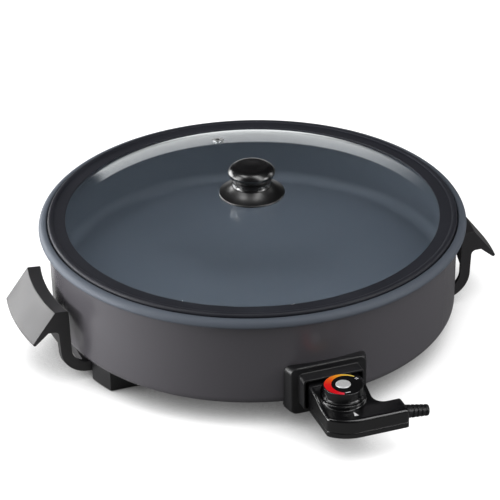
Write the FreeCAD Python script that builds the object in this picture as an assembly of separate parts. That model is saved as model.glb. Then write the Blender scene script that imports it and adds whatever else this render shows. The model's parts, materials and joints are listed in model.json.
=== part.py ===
import FreeCAD, Part
import math
import os

# Electric wok: a cast pan in a drawn shell on two moulded handles with foot bars, a lift-off glass lid, and a
# plug-in temperature control. Millimetres. Z is up, the pan's axis is the Z axis, the feet stand on z = 0,
# the handles lie along X and the control plugs in from -Y.

V = FreeCAD.Vector
X, Y, Z = V(1, 0, 0), V(0, 1, 0), V(0, 0, 1)
ORIGIN = V(0, 0, 0)

# ---- driving dimensions: heights
foot_height = 21.0            # standing plane to the shell's base
shell_height = 80.6           # shell base to the lip's underside
lip_thickness = 7.5           # lip underside to its crest
seat_drop = 4.6               # lid seat below the crest
under_room = 25.0             # shell base to the pan floor's underside
floor_thickness = 4.0
element_drop = 7.5            # floor underside to the element's centre line

# ---- pan
cooking_radius = 176.5        # inside wall at the lip
pan_wall = 2.5
pan_draft = 0.9               # the wall is this much narrower at the floor
floor_corner = 10.0
seat_width = 5.2              # inside wall to the lip's inner step
seat_round = 2.0
lip_radius = 189.0
pillar_radius = 6.0
plate_boss_radius = 5.0
plate_boss_inset = 40.0       # element ring to the bottom plate's screws
plate_boss_count = 4

# ---- shell and bottom plate
shell_gap = 1.2               # pan wall to shell at the lip
shell_sheet = 0.8
shell_draft = 1.5
shell_corner = 9.0
base_flange = 35.0            # shell's outside to the hole in its base
plate_overlap = 5.0           # bottom plate over the shell's base flange
plate_sheet = 0.8
plate_dish = 3.0              # pressed step of the plate's middle
slot_count = 24
slot_length = 22.0
slot_width = 4.0
slot_inset = 2.0              # element ring to the middle of the slots

# ---- heating element
element_inset = 66.5          # cooking wall to the element's centre line
element_tube = 4.0            # radius of the sheath
element_bend = 15.0
ridge_width = 14.0
ridge_gap = 30.0              # the ridge leaves off this far from the element's bend
well_reach = 12.0             # probe well beyond the ridge's gap
terminal_spacing = 28.0
pin_radius = 2.4
pin_engagement = 12.0         # pin inside the control's contact
bushing_length = 3.0
bushing_radius = 3.6
clamp_length = 36.0
clamp_width = 10.0
clamp_sheet = 1.2
clamp_angles = (25.0, 75.0, 125.0, 175.0, 225.0, 315.0)
clamp_screw_radius = 1.5
clamp_screw_bite = 5.0
small_head_radius = 2.8
small_head_height = 1.8
plate_screw_length = 10.0
clamp_pad_radius = 3.6

# ---- probe tube, terminal bracket and guard
probe_radius = 3.0
probe_clearance = 0.06
probe_length = 62.0           # nose face to the probe's tip
tube_wall = 1.1
bracket_inset = 8.0           # shell inside wall to the bracket
bracket_sheet = 1.2
bracket_half_width = 36.0
bracket_below = 13.5          # bracket's lower edge below the plug axis
bracket_above = 7.0
window_half_width = 24.0
window_below = 11.5
window_above = 6.5
guard_depth = 4.5             # guard face in front of the shell
guard_half_width = 33.4
guard_flare = 2.2             # wider at the shell than at the face
guard_top = 21.8              # above the plug axis
guard_bottom = 23.2           # below the plug axis
guard_corner = 6.0
guard_edge = 1.8
collar_reach = 11.5           # collar in front of the guard face
collar_half_width = 27.3
collar_top = 15.9
collar_bottom = 13.0
collar_wall = 1.9
collar_corner = 3.0
guard_boss_x = 30.8
guard_boss_drop = 3.8
guard_boss_radius = 4.0
guard_screw_radius = 1.5
guard_screw_bite = 8.0
guard_head_radius = 3.0
guard_head_height = 2.0

# ---- handles and feet
handle_gap = 8.2              # shell to the arm at its top
handle_half_width = 42.8
arm_lean = 1.2
arm_thickness = 9.4
bend_radius = 15.0            # inside of the arm's lower bend
grip_height = 50.5            # top of the handle above the shell's base
grip_width = 12.0
grip_reach = 32.0             # arm's inner face to the grip's tip
grip_drop = 25.9              # tip below the handle's top
tip_thickness = 3.2
root_drop = 18.0              # underside of the grip's root below the handle's top
root_reach = 18.4
root_round = 4.4
strap_bottom = 8.6
leg_width = 4.8               # each of the two legs that join grip and strap
leg_height = 19.0             # shell's base to the arch between the legs, at its sides
arch_rise = 5.0
strap_inset = 7.0             # foot's inner face to the strap's end
foot_width = 32.5
foot_inset = 8.5              # shell's outside to the foot's outer face
foot_half_length = 70.0
foot_edge = 1.5
foot_pocket_wall = 3.5
foot_pocket_depth = 13.0
strap_clearance = 0.3
foot_recess = 8.0             # the foot is set back this much under the strap
foot_recess_margin = 2.6      # strap's side to the end of the set-back
handle_screw_inset = 16.0     # foot's inner face to the screws
handle_screw_y = 22.0
handle_screw_radius = 2.5
screw_head_radius = 4.6
screw_head_height = 3.0
pad_radius = 8.0

# ---- lid
lid_seat_gap = 0.3
lid_edge_gap = 0.8            # ring to the lip's inner step
lid_side_gap = 0.6            # ring's skirt to the cooking wall
ring_band = 15.7              # width of the ring seen from above
ring_bead = 5.4               # width of the raised bead
ring_rise = 6.0               # band above the lid seat
bead_rise = 1.0               # bead above the band
glass_bite = 8.3              # glass held inside the ring
glass_thickness = 4.0
dome_rise = 12.5              # gentle part of the dome
knee_rise = 8.0               # steep part near the rim
knee_power = 8
glass_hole_radius = 3.0
vent_inset = 45.2             # ring's inner edge to the vent
vent_angle = 85.0
vent_bore = 2.2
vent_tube = 3.2
vent_flange = 5.2
vent_flange_sheet = 0.7
knob_radius = 20.8
knob_height = 27.0            # glass top to the knob's top
knob_neck_radius = 17.4
knob_crown = 0.7              # rise of the knob's slightly domed top
knob_base_radius = 29.0
knob_base_height = 8.0
knob_base_wall = 2.0
insert_radius = 4.2
insert_length = 12.0
knob_screw_radius = 2.4
washer_radius = 9.0
washer_sheet = 1.2
gasket_radius = 10.5
gasket_sheet = 1.5

# ---- control
nose_gap = 2.0                # nose face to the shell
nose_half_width = 23.2
nose_below = 9.5
nose_above = 12.5
case_half_width = 23.5
case_below = 12.5             # case underside below the plug axis
case_front_top = 4.6          # arm's top above the plug axis
case_wall = 2.2
cover_height = 5.0
case_step = 1.5               # collar to the case's rear face
dial_set_back = 20.6          # collar to the dial's axis
front_radius = 34.0
front_centre_x = 2.0
arm_end = 45.5
arm_width = 21.0
arm_fillet = 10.0
arm_corner = 2.5
neck_corner = 6.0             # rounding between the case's left side and its front
case_edge = 2.4               # rounding of the case's top edge
boss_radius = 19.0
boss_rise = 8.4               # boss top above the plug axis
case_screw_radius = 1.25
case_screw_head = 2.7
case_screw_head_height = 2.0
case_boss_radius = 3.4
contact_radius = 3.3
contact_clearance = 0.05
contact_length = 17.0
carrier_half_width = 19.0
carrier_length = 17.0
carrier_height = 15.0
relief_length = 20.0
relief_root_radius = 5.8
relief_end_radius = 4.8
relief_skirt = 4.0            # plain part before the first groove
relief_groove = 0.8
relief_bore = 3.4
relief_neck_radius = 4.6
relief_tilt = 8.5             # degrees down
relief_rise = -2.9            # axis below the plug axis at the case's end
relief_flange = 1.4
relief_rib_count = 4

# ---- dial
dial_radius = 18.0
dial_top_radius = 16.8
dial_height = 10.0
dial_gap = 0.5                # boss to dial
dial_side_gap = 0.6
dial_skin = 1.8
face_radius = 16.0
face_thickness = 0.8
cap_radius = 6.4
cap_height = 1.0
shaft_radius = 3.0
shaft_clearance = 0.06
shaft_flat = 2.1              # axis to the flat
cam_radius = 6.0
thermostat_rear = 7.0         # shaft to the thermostat plate's rear edge
thermostat_front = 24.0
stack_inset = 5.0             # plate's front edge to the blade stack
cam_thickness = 1.3

# ---- derived heights and radii
lip_bottom = foot_height + shell_height
lip_top = lip_bottom + lip_thickness
seat_z = lip_top - seat_drop
under_z = foot_height + under_room
floor_z = under_z + floor_thickness
plug_z = under_z - element_drop
pan_outer = cooking_radius + pan_wall
shell_radius = pan_outer + shell_gap + shell_sheet
step_radius = cooking_radius + seat_width
guard_y = -(shell_radius + guard_depth)
collar_y = guard_y - collar_reach
nose_y = -(shell_radius + nose_gap)
case_y = collar_y - case_step
dial_y = collar_y - dial_set_back
front_y = dial_y - 1.4 - front_radius
bracket_y = -(shell_radius - shell_sheet - bracket_inset) - bracket_sheet
tube_end_y = bracket_y - 4.5
pin_tip_y = nose_y - 1.0 - pin_engagement
terminal_x = terminal_spacing / 2
ring_top_z = seat_z + ring_rise
glass_edge_z = ring_top_z - 0.6
ring_inner_radius = step_radius - lid_edge_gap - ring_band
glass_radius = ring_inner_radius + glass_bite
vent_circle = ring_inner_radius - vent_inset
element_circle = cooking_radius - element_inset
slot_circle = element_circle - slot_inset
plate_boss_circle = element_circle - plate_boss_inset
base_hole_radius = shell_radius - base_flange
foot_outer = shell_radius - foot_inset
foot_inner = foot_outer - foot_width
strap_end = foot_inner + strap_inset
handle_screw_x = foot_inner + handle_screw_inset
glass_top_z = glass_edge_z + dome_rise + knee_rise
case_bottom_z = plug_z - case_below
parting_z = plug_z - nose_below + 2.0
arm_top_z = plug_z + case_front_top
nose_top_z = plug_z + nose_above
boss_top_z = plug_z + boss_rise
dial_bottom_z = boss_top_z + dial_gap
dial_top_z = dial_bottom_z + dial_height


# ---- helpers

def outline(path, plane="rz"):
    """Closed wire through 2-D points; a 4-tuple is an arc through its first pair to its second pair."""
    def at(a, b):
        return {"rz": V(a, 0, b), "xy": V(a, b, 0), "yz": V(0, a, b)}[plane]
    edges, last = [], at(*path[0])
    for step in path[1:] + [path[0]]:
        end = at(*step[-2:])
        if len(step) == 4 and step is not path[0]:
            edges.append(Part.Arc(last, at(*step[:2]), end).toShape())
        elif (end - last).Length > 1e-6:
            edges.append(Part.LineSegment(last, end).toShape())
        last = end
    return Part.Wire(edges)


def turned(path, angle=360.0):
    """Solid of revolution about Z of an outline in radius and height."""
    return Part.Face(outline(path)).revolve(ORIGIN, Z, angle)


def prism(wire, z0, z1):
    """A wire in the XY plane raised between two heights."""
    shape = Part.Face(wire).extrude(V(0, 0, z1 - z0))
    shape.translate(V(0, 0, z0))
    return shape


def block(x0, x1, y0, y1, z0, z1):
    return Part.makeBox(x1 - x0, y1 - y0, z1 - z0, V(x0, y0, z0))


def post(x, y, z0, z1, radius):
    return Part.makeCylinder(radius, z1 - z0, V(x, y, z0))


def rod_y(x, z, y0, y1, radius):
    """Cylinder along -Y from y0 back to y1, where y1 is further out."""
    return Part.makeCylinder(radius, y0 - y1, V(x, y0, z), V(0, -1, 0))


def rounded_frame(half_width, z0, z1, radius, y):
    """Rounded rectangle wire in the XZ plane at y."""
    k = radius * (1 - math.sqrt(0.5))
    w = half_width
    path = [(-w + radius, z0), (w - radius, z0), (w - k, z0 + k, w, z0 + radius),
            (w, z1 - radius), (w - k, z1 - k, w - radius, z1), (-w + radius, z1),
            (-w + k, z1 - k, -w, z1 - radius), (-w, z0 + radius), (-w + k, z0 + k, -w + radius, z0)]
    wire = outline(path)
    wire.translate(V(0, y, 0))
    return wire


def frame_prism(half_width, z0, z1, radius, y0, y1):
    """Rounded rectangle carried along -Y from y0 to y1."""
    face = Part.Face(rounded_frame(half_width, z0, z1, radius, y0))
    return face.extrude(V(0, y1 - y0, 0))


def fused(shapes):
    whole = shapes[0]
    if len(shapes) > 1:
        whole = whole.fuse(shapes[1:])
    return whole.removeSplitter()


def round_about(shape, count, start=0.0):
    """Copies of a shape spaced evenly about Z."""
    copies = []
    for i in range(count):
        copy = shape.copy()
        copy.rotate(ORIGIN, Z, start + 360.0 * i / count)
        copies.append(copy)
    return copies


def pan_screw(x, y, z0, z1, shank, head, head_height):
    """Screw from below: head at z0, shank up to z1."""
    return fused([post(x, y, z0, z0 + head_height, head), post(x, y, z0, z1, shank)])


def save(node, shape):
    """Write one node, checked to be closed and valid."""
    solids = shape.Solids
    if not solids or not all(s.isValid() and s.isClosed() for s in solids):
        raise ValueError(node + " is not a valid closed solid")
    body = solids[0] if len(solids) == 1 else Part.makeCompound(solids)
    body.exportStep("parts/" + node + ".step")
    print(node, len(solids), round(sum(s.Volume for s in solids) / 1000, 2), "cm3")


# ---- pan, shell and bottom plate

def shell_r(z):
    """Outer radius of the shell's drafted wall."""
    return shell_radius - shell_draft * (lip_bottom - z) / shell_height


def shell_profile(inset):
    """Closed section of the shell's envelope, moved in by the inset, filled to the axis."""
    corner = shell_corner - inset
    z0 = foot_height + inset
    centre_r = shell_r(foot_height + shell_corner) - shell_corner
    centre_z = foot_height + shell_corner
    k = corner * math.sqrt(0.5)
    return [(0, z0), (centre_r, z0), (centre_r + k, centre_z - k, centre_r + corner, centre_z),
            (shell_radius - inset, lip_bottom), (0, lip_bottom)]


def terminal_ring():
    """Element centre line as three kinds of tube: ring, two bends, two straight ends."""
    bend_x = terminal_x + element_bend
    reach = element_circle + element_bend
    bend_y = -math.sqrt(reach ** 2 - bend_x ** 2)
    half_gap = math.degrees(math.atan2(bend_x, -bend_y))
    return bend_x, bend_y, half_gap


def heating_element():
    bend_x, bend_y, half_gap = terminal_ring()
    section = Part.Face(Part.Wire(Part.makeCircle(element_tube, V(element_circle, 0, plug_z), Y)))
    ring = section.revolve(ORIGIN, Z, 360.0 - 2 * half_gap)
    ring.rotate(ORIGIN, Z, -90.0 + half_gap)
    parts = [ring]
    for side in (1, -1):
        centre = V(side * bend_x, bend_y, plug_z)
        start = V(side * terminal_x, bend_y, plug_z)
        face = Part.Face(Part.Wire(Part.makeCircle(element_tube, start, Y)))
        parts.append(face.revolve(centre, V(0, 0, -side), 90.0 - half_gap))
        parts.append(rod_y(side * terminal_x, plug_z, bend_y, tube_end_y, element_tube))
    return fused(parts)


def clamp_at(angle, z0, z1, radius):
    """Two posts, one each side of the element, at one clamp."""
    offset = clamp_length / 2 - clamp_width / 2
    c, s = math.cos(math.radians(angle)), math.sin(math.radians(angle))
    return [post((element_circle + d) * c, (element_circle + d) * s, z0, z1, radius)
            for d in (-offset, offset)]


def pillars(z0, z1, radius):
    return [post(sx * handle_screw_x, sy * handle_screw_y, z0, z1, radius)
            for sx in (1, -1) for sy in (1, -1)]


def plate_bosses(z0, z1, radius):
    return round_about(post(plate_boss_circle, 0, z0, z1, radius), plate_boss_count, 45.0)


def probe_tube_outer(radius):
    return rod_y(0, plug_z, nose_y + probe_length + 1.5, bracket_y - 2.0, radius)


def pan():
    wall_foot = cooking_radius - pan_draft
    outer_foot = wall_foot + pan_wall
    corner_z = floor_z + floor_corner
    outer_corner = floor_corner + pan_wall
    k_in = floor_corner * math.sqrt(0.5)
    k_out = outer_corner * math.sqrt(0.5)
    c_in, c_out = wall_foot - floor_corner, outer_foot - outer_corner
    k_seat = seat_round * (1 - math.sqrt(0.5))
    out_z = under_z + outer_corner
    body = turned([
        (0, floor_z), (c_in, floor_z), (c_in + k_in, corner_z - k_in, wall_foot, corner_z),
        (cooking_radius, seat_z - seat_round),
        (cooking_radius + k_seat, seat_z - k_seat, cooking_radius + seat_round, seat_z),
        (step_radius, seat_z), (step_radius, lip_top - 1.6),
        (step_radius + 0.4, lip_top - 0.4, step_radius + 1.6, lip_top),
        (lip_radius - 1.7, lip_top - 1.8, lip_radius, lip_bottom + 2.2),
        (lip_radius - 0.6, lip_bottom + 0.6, lip_radius - 2.2, lip_bottom),
        (pan_outer, lip_bottom), (outer_foot, out_z),
        (c_out + k_out, out_z - k_out, c_out, under_z), (0, under_z)])
    half = ridge_width / 2
    ridge = turned([(element_circle - half, plug_z), (element_circle + half, plug_z),
                    (element_circle + half, floor_z - 1), (element_circle - half, floor_z - 1)])
    _, bend_y, _ = terminal_ring()
    keep = block(-2 * half, 2 * half, bend_y - ridge_gap, bend_y + ridge_gap, plug_z - 1, floor_z - 1)
    well = block(-2 * probe_radius, 2 * probe_radius, bend_y - ridge_gap - well_reach,
                 nose_y + probe_length + 6.0, plug_z, floor_z - 1)
    low = plug_z - element_tube
    adds = [body, ridge.cut(keep), well]
    adds += pillars(foot_height + shell_sheet, floor_z - 1, pillar_radius)
    adds += plate_bosses(foot_height + shell_sheet + plate_sheet + plate_dish, floor_z - 1,
                         plate_boss_radius)
    for angle in clamp_angles:
        adds += clamp_at(angle, low, floor_z - 1, clamp_pad_radius)
    shape = fused(adds)
    cuts = [heating_element(), probe_tube_outer(probe_radius + probe_clearance + tube_wall)]
    cuts += pillars(foot_height, foot_height + 16.0, handle_screw_radius)
    cuts += plate_bosses(foot_height, foot_height + plate_screw_length + 4.0, clamp_screw_radius)
    for angle in clamp_angles:
        cuts += clamp_at(angle, low - 1, low + clamp_screw_bite + 1, clamp_screw_radius)
    return shape.cut(cuts)


def outer_shell():
    shape = turned(shell_profile(0)).cut(turned(shell_profile(shell_sheet)))
    hole = post(0, 0, foot_height - 1, foot_height + shell_sheet + 1, base_hole_radius)
    window = frame_prism(window_half_width, plug_z - window_below, plug_z + window_above, 3.0,
                         bracket_y, guard_y)
    bosses = [rod_y(sx * guard_boss_x, plug_z - guard_boss_drop, bracket_y, guard_y,
                    guard_boss_radius + 0.4) for sx in (1, -1)]
    screws = pillars(foot_height - 1, foot_height + 2, handle_screw_radius + 0.3)
    return shape.cut([hole, window] + bosses + screws)


def bottom_plate():
    z0 = foot_height + shell_sheet
    edge = base_hole_radius + plate_overlap
    inner = base_hole_radius - 8.0
    t, d = plate_sheet, plate_dish
    plate = turned([(0, z0 + d), (inner - d, z0 + d), (inner, z0), (edge, z0), (edge, z0 + t),
                    (inner + t / 2, z0 + t), (inner - d + t / 2, z0 + d + t), (0, z0 + d + t)])
    half, r = slot_length / 2 - slot_width / 2, slot_width / 2
    slot = fused([block(slot_circle - half, slot_circle + half, -r, r, z0, z0 + 2 * d),
                  post(slot_circle - half, 0, z0, z0 + 2 * d, r),
                  post(slot_circle + half, 0, z0, z0 + 2 * d, r)])
    holes = plate_bosses(z0, z0 + 2 * d, clamp_screw_radius + 0.2)
    return plate.cut(round_about(slot, slot_count) + holes)


def bottom_plate_screws():
    z0 = foot_height + shell_sheet + plate_dish
    z_head = z0 - small_head_height
    screw = pan_screw(plate_boss_circle, 0, z_head, z_head + plate_screw_length, clamp_screw_radius,
                      small_head_radius, small_head_height)
    return Part.makeCompound(round_about(screw, plate_boss_count, 45.0))


def element_clamps():
    z1 = plug_z - element_tube
    strips = []
    for angle in clamp_angles:
        strip = block(element_circle - clamp_length / 2, element_circle + clamp_length / 2,
                      -clamp_width / 2, clamp_width / 2, z1 - clamp_sheet, z1)
        strip.rotate(ORIGIN, Z, angle)
        strips.append(strip.cut(clamp_at(angle, z1 - 3, z1 + 1, clamp_screw_radius + 0.1)))
    return Part.makeCompound(strips)


def clamp_screws():
    z1 = plug_z - element_tube
    screws = []
    z_head = z1 - clamp_sheet - small_head_height
    for angle in clamp_angles:
        shanks = clamp_at(angle, z_head, z1 + clamp_screw_bite, clamp_screw_radius)
        heads = clamp_at(angle, z_head, z_head + small_head_height, small_head_radius)
        screws += [fused([head, shank]) for head, shank in zip(heads, shanks)]
    return Part.makeCompound(screws)


# ---- terminals, probe tube and guard

def terminals(y0, y1, radius):
    return [rod_y(side * terminal_x, plug_z, y0, y1, radius) for side in (1, -1)]


def terminal_bushings():
    outer = terminals(tube_end_y, tube_end_y - bushing_length, bushing_radius)
    bore = terminals(tube_end_y + 1, tube_end_y - bushing_length - 1, pin_radius)
    return Part.makeCompound([o.cut(b) for o, b in zip(outer, bore)])


def terminal_pins():
    pins = []
    for pin in terminals(tube_end_y, pin_tip_y, pin_radius):
        tip = [e for e in pin.Edges if abs(e.BoundBox.YMin - pin_tip_y) < 0.01
               and abs(e.BoundBox.YMax - pin_tip_y) < 0.01]
        pins.append(pin.makeChamfer(0.8, tip))
    return Part.makeCompound(pins)


def probe_tube():
    bore = probe_radius + probe_clearance
    outer = probe_tube_outer(bore + tube_wall)
    return outer.cut(rod_y(0, plug_z, nose_y + probe_length + 0.5, bracket_y - 3.0, bore))


def terminal_bracket():
    plate = frame_prism(bracket_half_width, plug_z - bracket_below, plug_z + bracket_above, 3.0,
                        bracket_y + bracket_sheet, bracket_y)
    y0, y1 = bracket_y + 2 * bracket_sheet, bracket_y - bracket_sheet
    holes = terminals(y0, y1, element_tube)
    holes.append(rod_y(0, plug_z, y0, y1, probe_radius + probe_clearance + tube_wall))
    holes += [rod_y(sx * guard_boss_x, plug_z - guard_boss_drop, y0, y1, guard_screw_radius + 0.1)
              for sx in (1, -1)]
    return plate.cut(holes)


def probe_guard():
    z0, z1 = plug_z - guard_bottom, plug_z + guard_top
    back_y = bracket_y
    flare = guard_flare * (guard_y - back_y) / (guard_y + shell_radius)
    front_w, back_w = guard_half_width, guard_half_width + flare
    plan = outline([(-front_w, guard_y), (front_w, guard_y), (back_w, back_y), (-back_w, back_y)], "xy")
    bezel = prism(plan, z0, z1)
    corners = [e for e in bezel.Edges if e.BoundBox.ZLength < 0.01 and e.BoundBox.XLength < 2 * flare]
    bezel = bezel.makeFillet(guard_corner, corners)
    rim = [e for e in bezel.Edges if abs(e.BoundBox.YMax - guard_y) < 0.01]
    bezel = bezel.makeFillet(guard_edge, rim)
    collar = frame_prism(collar_half_width, plug_z - collar_bottom, plug_z + collar_top, collar_corner,
                         bracket_y, collar_y)
    w = collar_wall
    socket = frame_prism(collar_half_width - w, plug_z - collar_bottom + w, plug_z + collar_top - w,
                         collar_corner - 1.0, bracket_y + 1, collar_y - 1)
    bosses = [rod_y(sx * guard_boss_x, plug_z - guard_boss_drop, bracket_y + 1, guard_y + 2.0,
                    guard_boss_radius) for sx in (1, -1)]
    pilots = [rod_y(sx * guard_boss_x, plug_z - guard_boss_drop, bracket_y + 1,
                    bracket_y - guard_screw_bite - 1, guard_screw_radius) for sx in (1, -1)]
    return fused([bezel, collar]).cut([turned(shell_profile(0)).cut(bosses), socket] + pilots)


def guard_screws():
    y0 = bracket_y + bracket_sheet
    screws = []
    for sx in (1, -1):
        x, z = sx * guard_boss_x, plug_z - guard_boss_drop
        screws.append(fused([rod_y(x, z, y0 + guard_head_height, y0, guard_head_radius),
                             rod_y(x, z, y0 + guard_head_height, bracket_y - guard_screw_bite,
                                   guard_screw_radius)]))
    return Part.makeCompound(screws)


# ---- handles and feet

def arch_cutter(x0, x1):
    """The arched opening between a handle's two legs."""
    half, spring = handle_half_width - leg_width, foot_height + leg_height
    wire = outline([(-half, 0), (half, 0), (half, spring), (0, spring + arch_rise, -half, spring)], "yz")
    wire.translate(V(x0, 0, 0))
    return Part.Face(wire).extrude(V(x1 - x0, 0, 0))


def handle(side):
    """Flared grip, curved arm and strap as one moulding, turned about the pan's axis and cut to width."""
    inner = shell_radius + handle_gap
    top = foot_height + grip_height
    bend_r = inner - arm_lean - bend_radius
    bend_z = strap_bottom + arm_thickness + bend_radius
    outer_bend = bend_radius + arm_thickness
    k_in, k_out = bend_radius * math.sqrt(0.5), outer_bend * math.sqrt(0.5)
    tip_r, tip_z = inner + grip_reach, top - grip_drop
    root_z, root_r = top - root_drop, inner + root_reach
    arm_r = inner + arm_thickness - 0.2
    k_root = root_round * (1 - math.sqrt(0.5))
    t = tip_thickness
    path = [(strap_end, strap_bottom), (bend_r, strap_bottom),
            (bend_r + k_out, bend_z - k_out, bend_r + outer_bend, bend_z),
            (arm_r, root_z - root_round),
            (arm_r + k_root, root_z - k_root, arm_r + root_round, root_z),
            (root_r, root_z), (tip_r - 0.7 * t, tip_z - 0.6 * t),
            (tip_r + 0.05 * t, tip_z - 0.45 * t, tip_r, tip_z),
            (inner + grip_width, top + 0.8), (inner, top),
            (bend_r + bend_radius, bend_z),
            (bend_r + k_in, bend_z - k_in, bend_r, bend_z - bend_radius),
            (strap_end, bend_z - bend_radius)]
    sweep = 2 * math.degrees(math.asin(handle_half_width / strap_end)) + 10.0
    body = turned(path, sweep)
    body.rotate(ORIGIN, Z, -sweep / 2)
    w = handle_half_width
    body = body.common(block(0, tip_r + 5, -w, w, 0, top + 5))
    body = body.cut(arch_cutter(bend_r, tip_r + 5))
    pads = [post(handle_screw_x, sy * handle_screw_y, strap_bottom + 1, foot_height, pad_radius)
            for sy in (1, -1)]
    bores = [post(handle_screw_x, sy * handle_screw_y, 0, foot_height + 1, handle_screw_radius)
             for sy in (1, -1)]
    shape = fused([body] + pads).cut(bores)
    if side < 0:
        shape.rotate(ORIGIN, Z, 180.0)
    return shape


def foot_sector(r0, r1, y0, y1, z0, z1):
    """Part of a ring on the +X side between two Y planes."""
    ring = turned([(r0, z0), (r1, z0), (r1, z1), (r0, z1)])
    return ring.common(block(0, r1 + 1, y0, y1, z0 - 1, z1 + 1))


def foot(side):
    """Curved foot bar under the shell, with a channel for the handle's strap and pockets in its ends."""
    half, wall = foot_half_length, foot_pocket_wall
    shape = foot_sector(foot_inner, foot_outer, -half, half, 0, foot_height)
    rim = [e for e in shape.Edges if abs(e.BoundBox.ZMax) < 0.01]
    shape = shape.makeChamfer(foot_edge, rim)
    channel_w = handle_half_width + strap_clearance
    recess_w = handle_half_width + foot_recess_margin
    cuts = [block(foot_inner - 2, foot_outer + 2, -channel_w, channel_w, strap_bottom, foot_height + 1),
            foot_sector(foot_outer - foot_recess, foot_outer + 2, -recess_w, recess_w, -1, foot_height + 1)]
    for y0, y1 in ((recess_w + wall, half - wall), (wall - half, -recess_w - wall)):
        cuts.append(foot_sector(foot_inner + wall, foot_outer - wall, y0, y1, -1, foot_pocket_depth))
    for sy in (1, -1):
        x, y = handle_screw_x, sy * handle_screw_y
        cuts += [post(x, y, -1, foot_height + 1, handle_screw_radius),
                 post(x, y, -1, screw_head_height + 1.0, screw_head_radius + 0.4)]
    shape = shape.cut(cuts)
    if side < 0:
        shape.rotate(ORIGIN, Z, 180.0)
    return shape


def handle_screws():
    z0 = 1.0
    return Part.makeCompound([
        pan_screw(sx * handle_screw_x, sy * handle_screw_y, z0, foot_height + 14.0, handle_screw_radius,
                  screw_head_radius, screw_head_height) for sx in (1, -1) for sy in (1, -1)])


# ---- lid

def dome_z(r):
    """Top of the glass: a gentle dome with a steep knee near the ring."""
    share = min(r / ring_inner_radius, 1.0)
    return glass_edge_z + dome_rise * (1 - share ** 2) + knee_rise * (1 - share ** knee_power)


def dome_curve(drop):
    """The dome's section as a curve from the centre to the ring's inner edge."""
    steps = 12
    points = [V(ring_inner_radius * math.sin(math.pi / 2 * i / steps), 0, 0) for i in range(steps + 1)]
    curve = Part.BSplineCurve()
    curve.interpolate([V(p.x, 0, dome_z(p.x) - drop) for p in points])
    return curve.toShape()


def dome_solid(drop, z_low):
    """Everything under the glass's top, or under its inside when dropped by the thickness."""
    top = dome_curve(drop)
    r0, edge = ring_inner_radius, dome_z(ring_inner_radius) - drop
    sides = Part.makePolygon([V(r0, 0, edge), V(glass_radius, 0, edge), V(glass_radius, 0, z_low),
                              V(0, 0, z_low), V(0, 0, dome_z(0) - drop)])
    return Part.Face(Part.Wire([top] + sides.Edges)).revolve(ORIGIN, Z, 360.0)


def vent_place(shape):
    """Move a shape built about Z at the origin to the vent, square to the glass."""
    step = 0.5
    slope = (dome_z(vent_circle + step) - dome_z(vent_circle - step)) / (2 * step)
    shape.rotate(ORIGIN, Y, -math.degrees(math.atan(slope)))
    shape.translate(V(vent_circle, 0, dome_z(vent_circle)))
    shape.rotate(ORIGIN, Z, vent_angle)
    return shape


def lid_glass():
    low = glass_edge_z - glass_thickness
    shell = dome_solid(0, low).cut(dome_solid(glass_thickness, low - 2))
    centre = post(0, 0, low, glass_top_z + 1, glass_hole_radius)
    vent = vent_place(post(0, 0, -2 * glass_thickness, glass_thickness, vent_tube))
    return shell.cut([centre, vent])


def lid_ring():
    bottom = seat_z + lid_seat_gap
    outer = step_radius - lid_edge_gap
    skirt = cooking_radius - lid_side_gap
    bead = outer - ring_bead
    bead_top = ring_top_z + bead_rise
    skirt_z = bottom - 3.6
    groove_z = glass_edge_z - glass_thickness
    lip = ring_inner_radius + 1.8
    body = turned([
        (skirt, bottom), (outer, bottom), (outer, ring_top_z - 1.6),
        (outer - 0.7, bead_top - 0.7, outer - 2.4, bead_top), (bead + 0.4, ring_top_z + 0.2),
        (bead, ring_top_z), (ring_inner_radius + 0.8, ring_top_z),
        (ring_inner_radius + 0.2, ring_top_z - 0.2, ring_inner_radius, glass_edge_z),
        (glass_radius, glass_edge_z), (glass_radius, groove_z), (lip, groove_z),
        (lip, groove_z - 1.4), (skirt - 3.0, skirt_z), (skirt - 0.4, skirt_z),
        (skirt, skirt_z + 0.4)])
    return body


def vent_grommet():
    t = vent_flange_sheet
    shape = fused([post(0, 0, -glass_thickness - t, t, vent_tube), post(0, 0, 0, t, vent_flange),
                   post(0, 0, -glass_thickness - t, -glass_thickness, vent_flange)])
    rim = [e for e in shape.Edges if abs(e.BoundBox.ZMin - t) < 0.01 and e.BoundBox.XLength > 2 * vent_tube]
    shape = shape.makeFillet(0.4, rim)
    return vent_place(shape.cut(post(0, 0, -2 * glass_thickness, glass_thickness, vent_bore)))


def crown_arc(r, rise, top):
    """Outline step for a spherical crown from radius r up to the axis."""
    sphere = (r ** 2 + rise ** 2) / (2 * rise)
    return r / 2, top - sphere + math.sqrt(sphere ** 2 - r ** 2 / 4), 0, top


def knob():
    z0 = glass_top_z + knob_base_height
    top = glass_top_z + knob_height
    wide_z = top - 6.0
    neck, wide, crown = knob_neck_radius, knob_radius, knob_radius - 8.6
    body = turned([
        (0, z0), (neck, z0), (neck - 0.8, z0 + 3.0, neck - 0.2, wide_z - 7.0),
        (wide - 1.0, wide_z - 3.6, wide, wide_z), (wide - 3.4, wide_z + 4.1, crown, top - knob_crown),
        crown_arc(crown, knob_crown, top)])
    return body.cut(post(0, 0, z0 - 1, z0 + insert_length, insert_radius))


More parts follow.
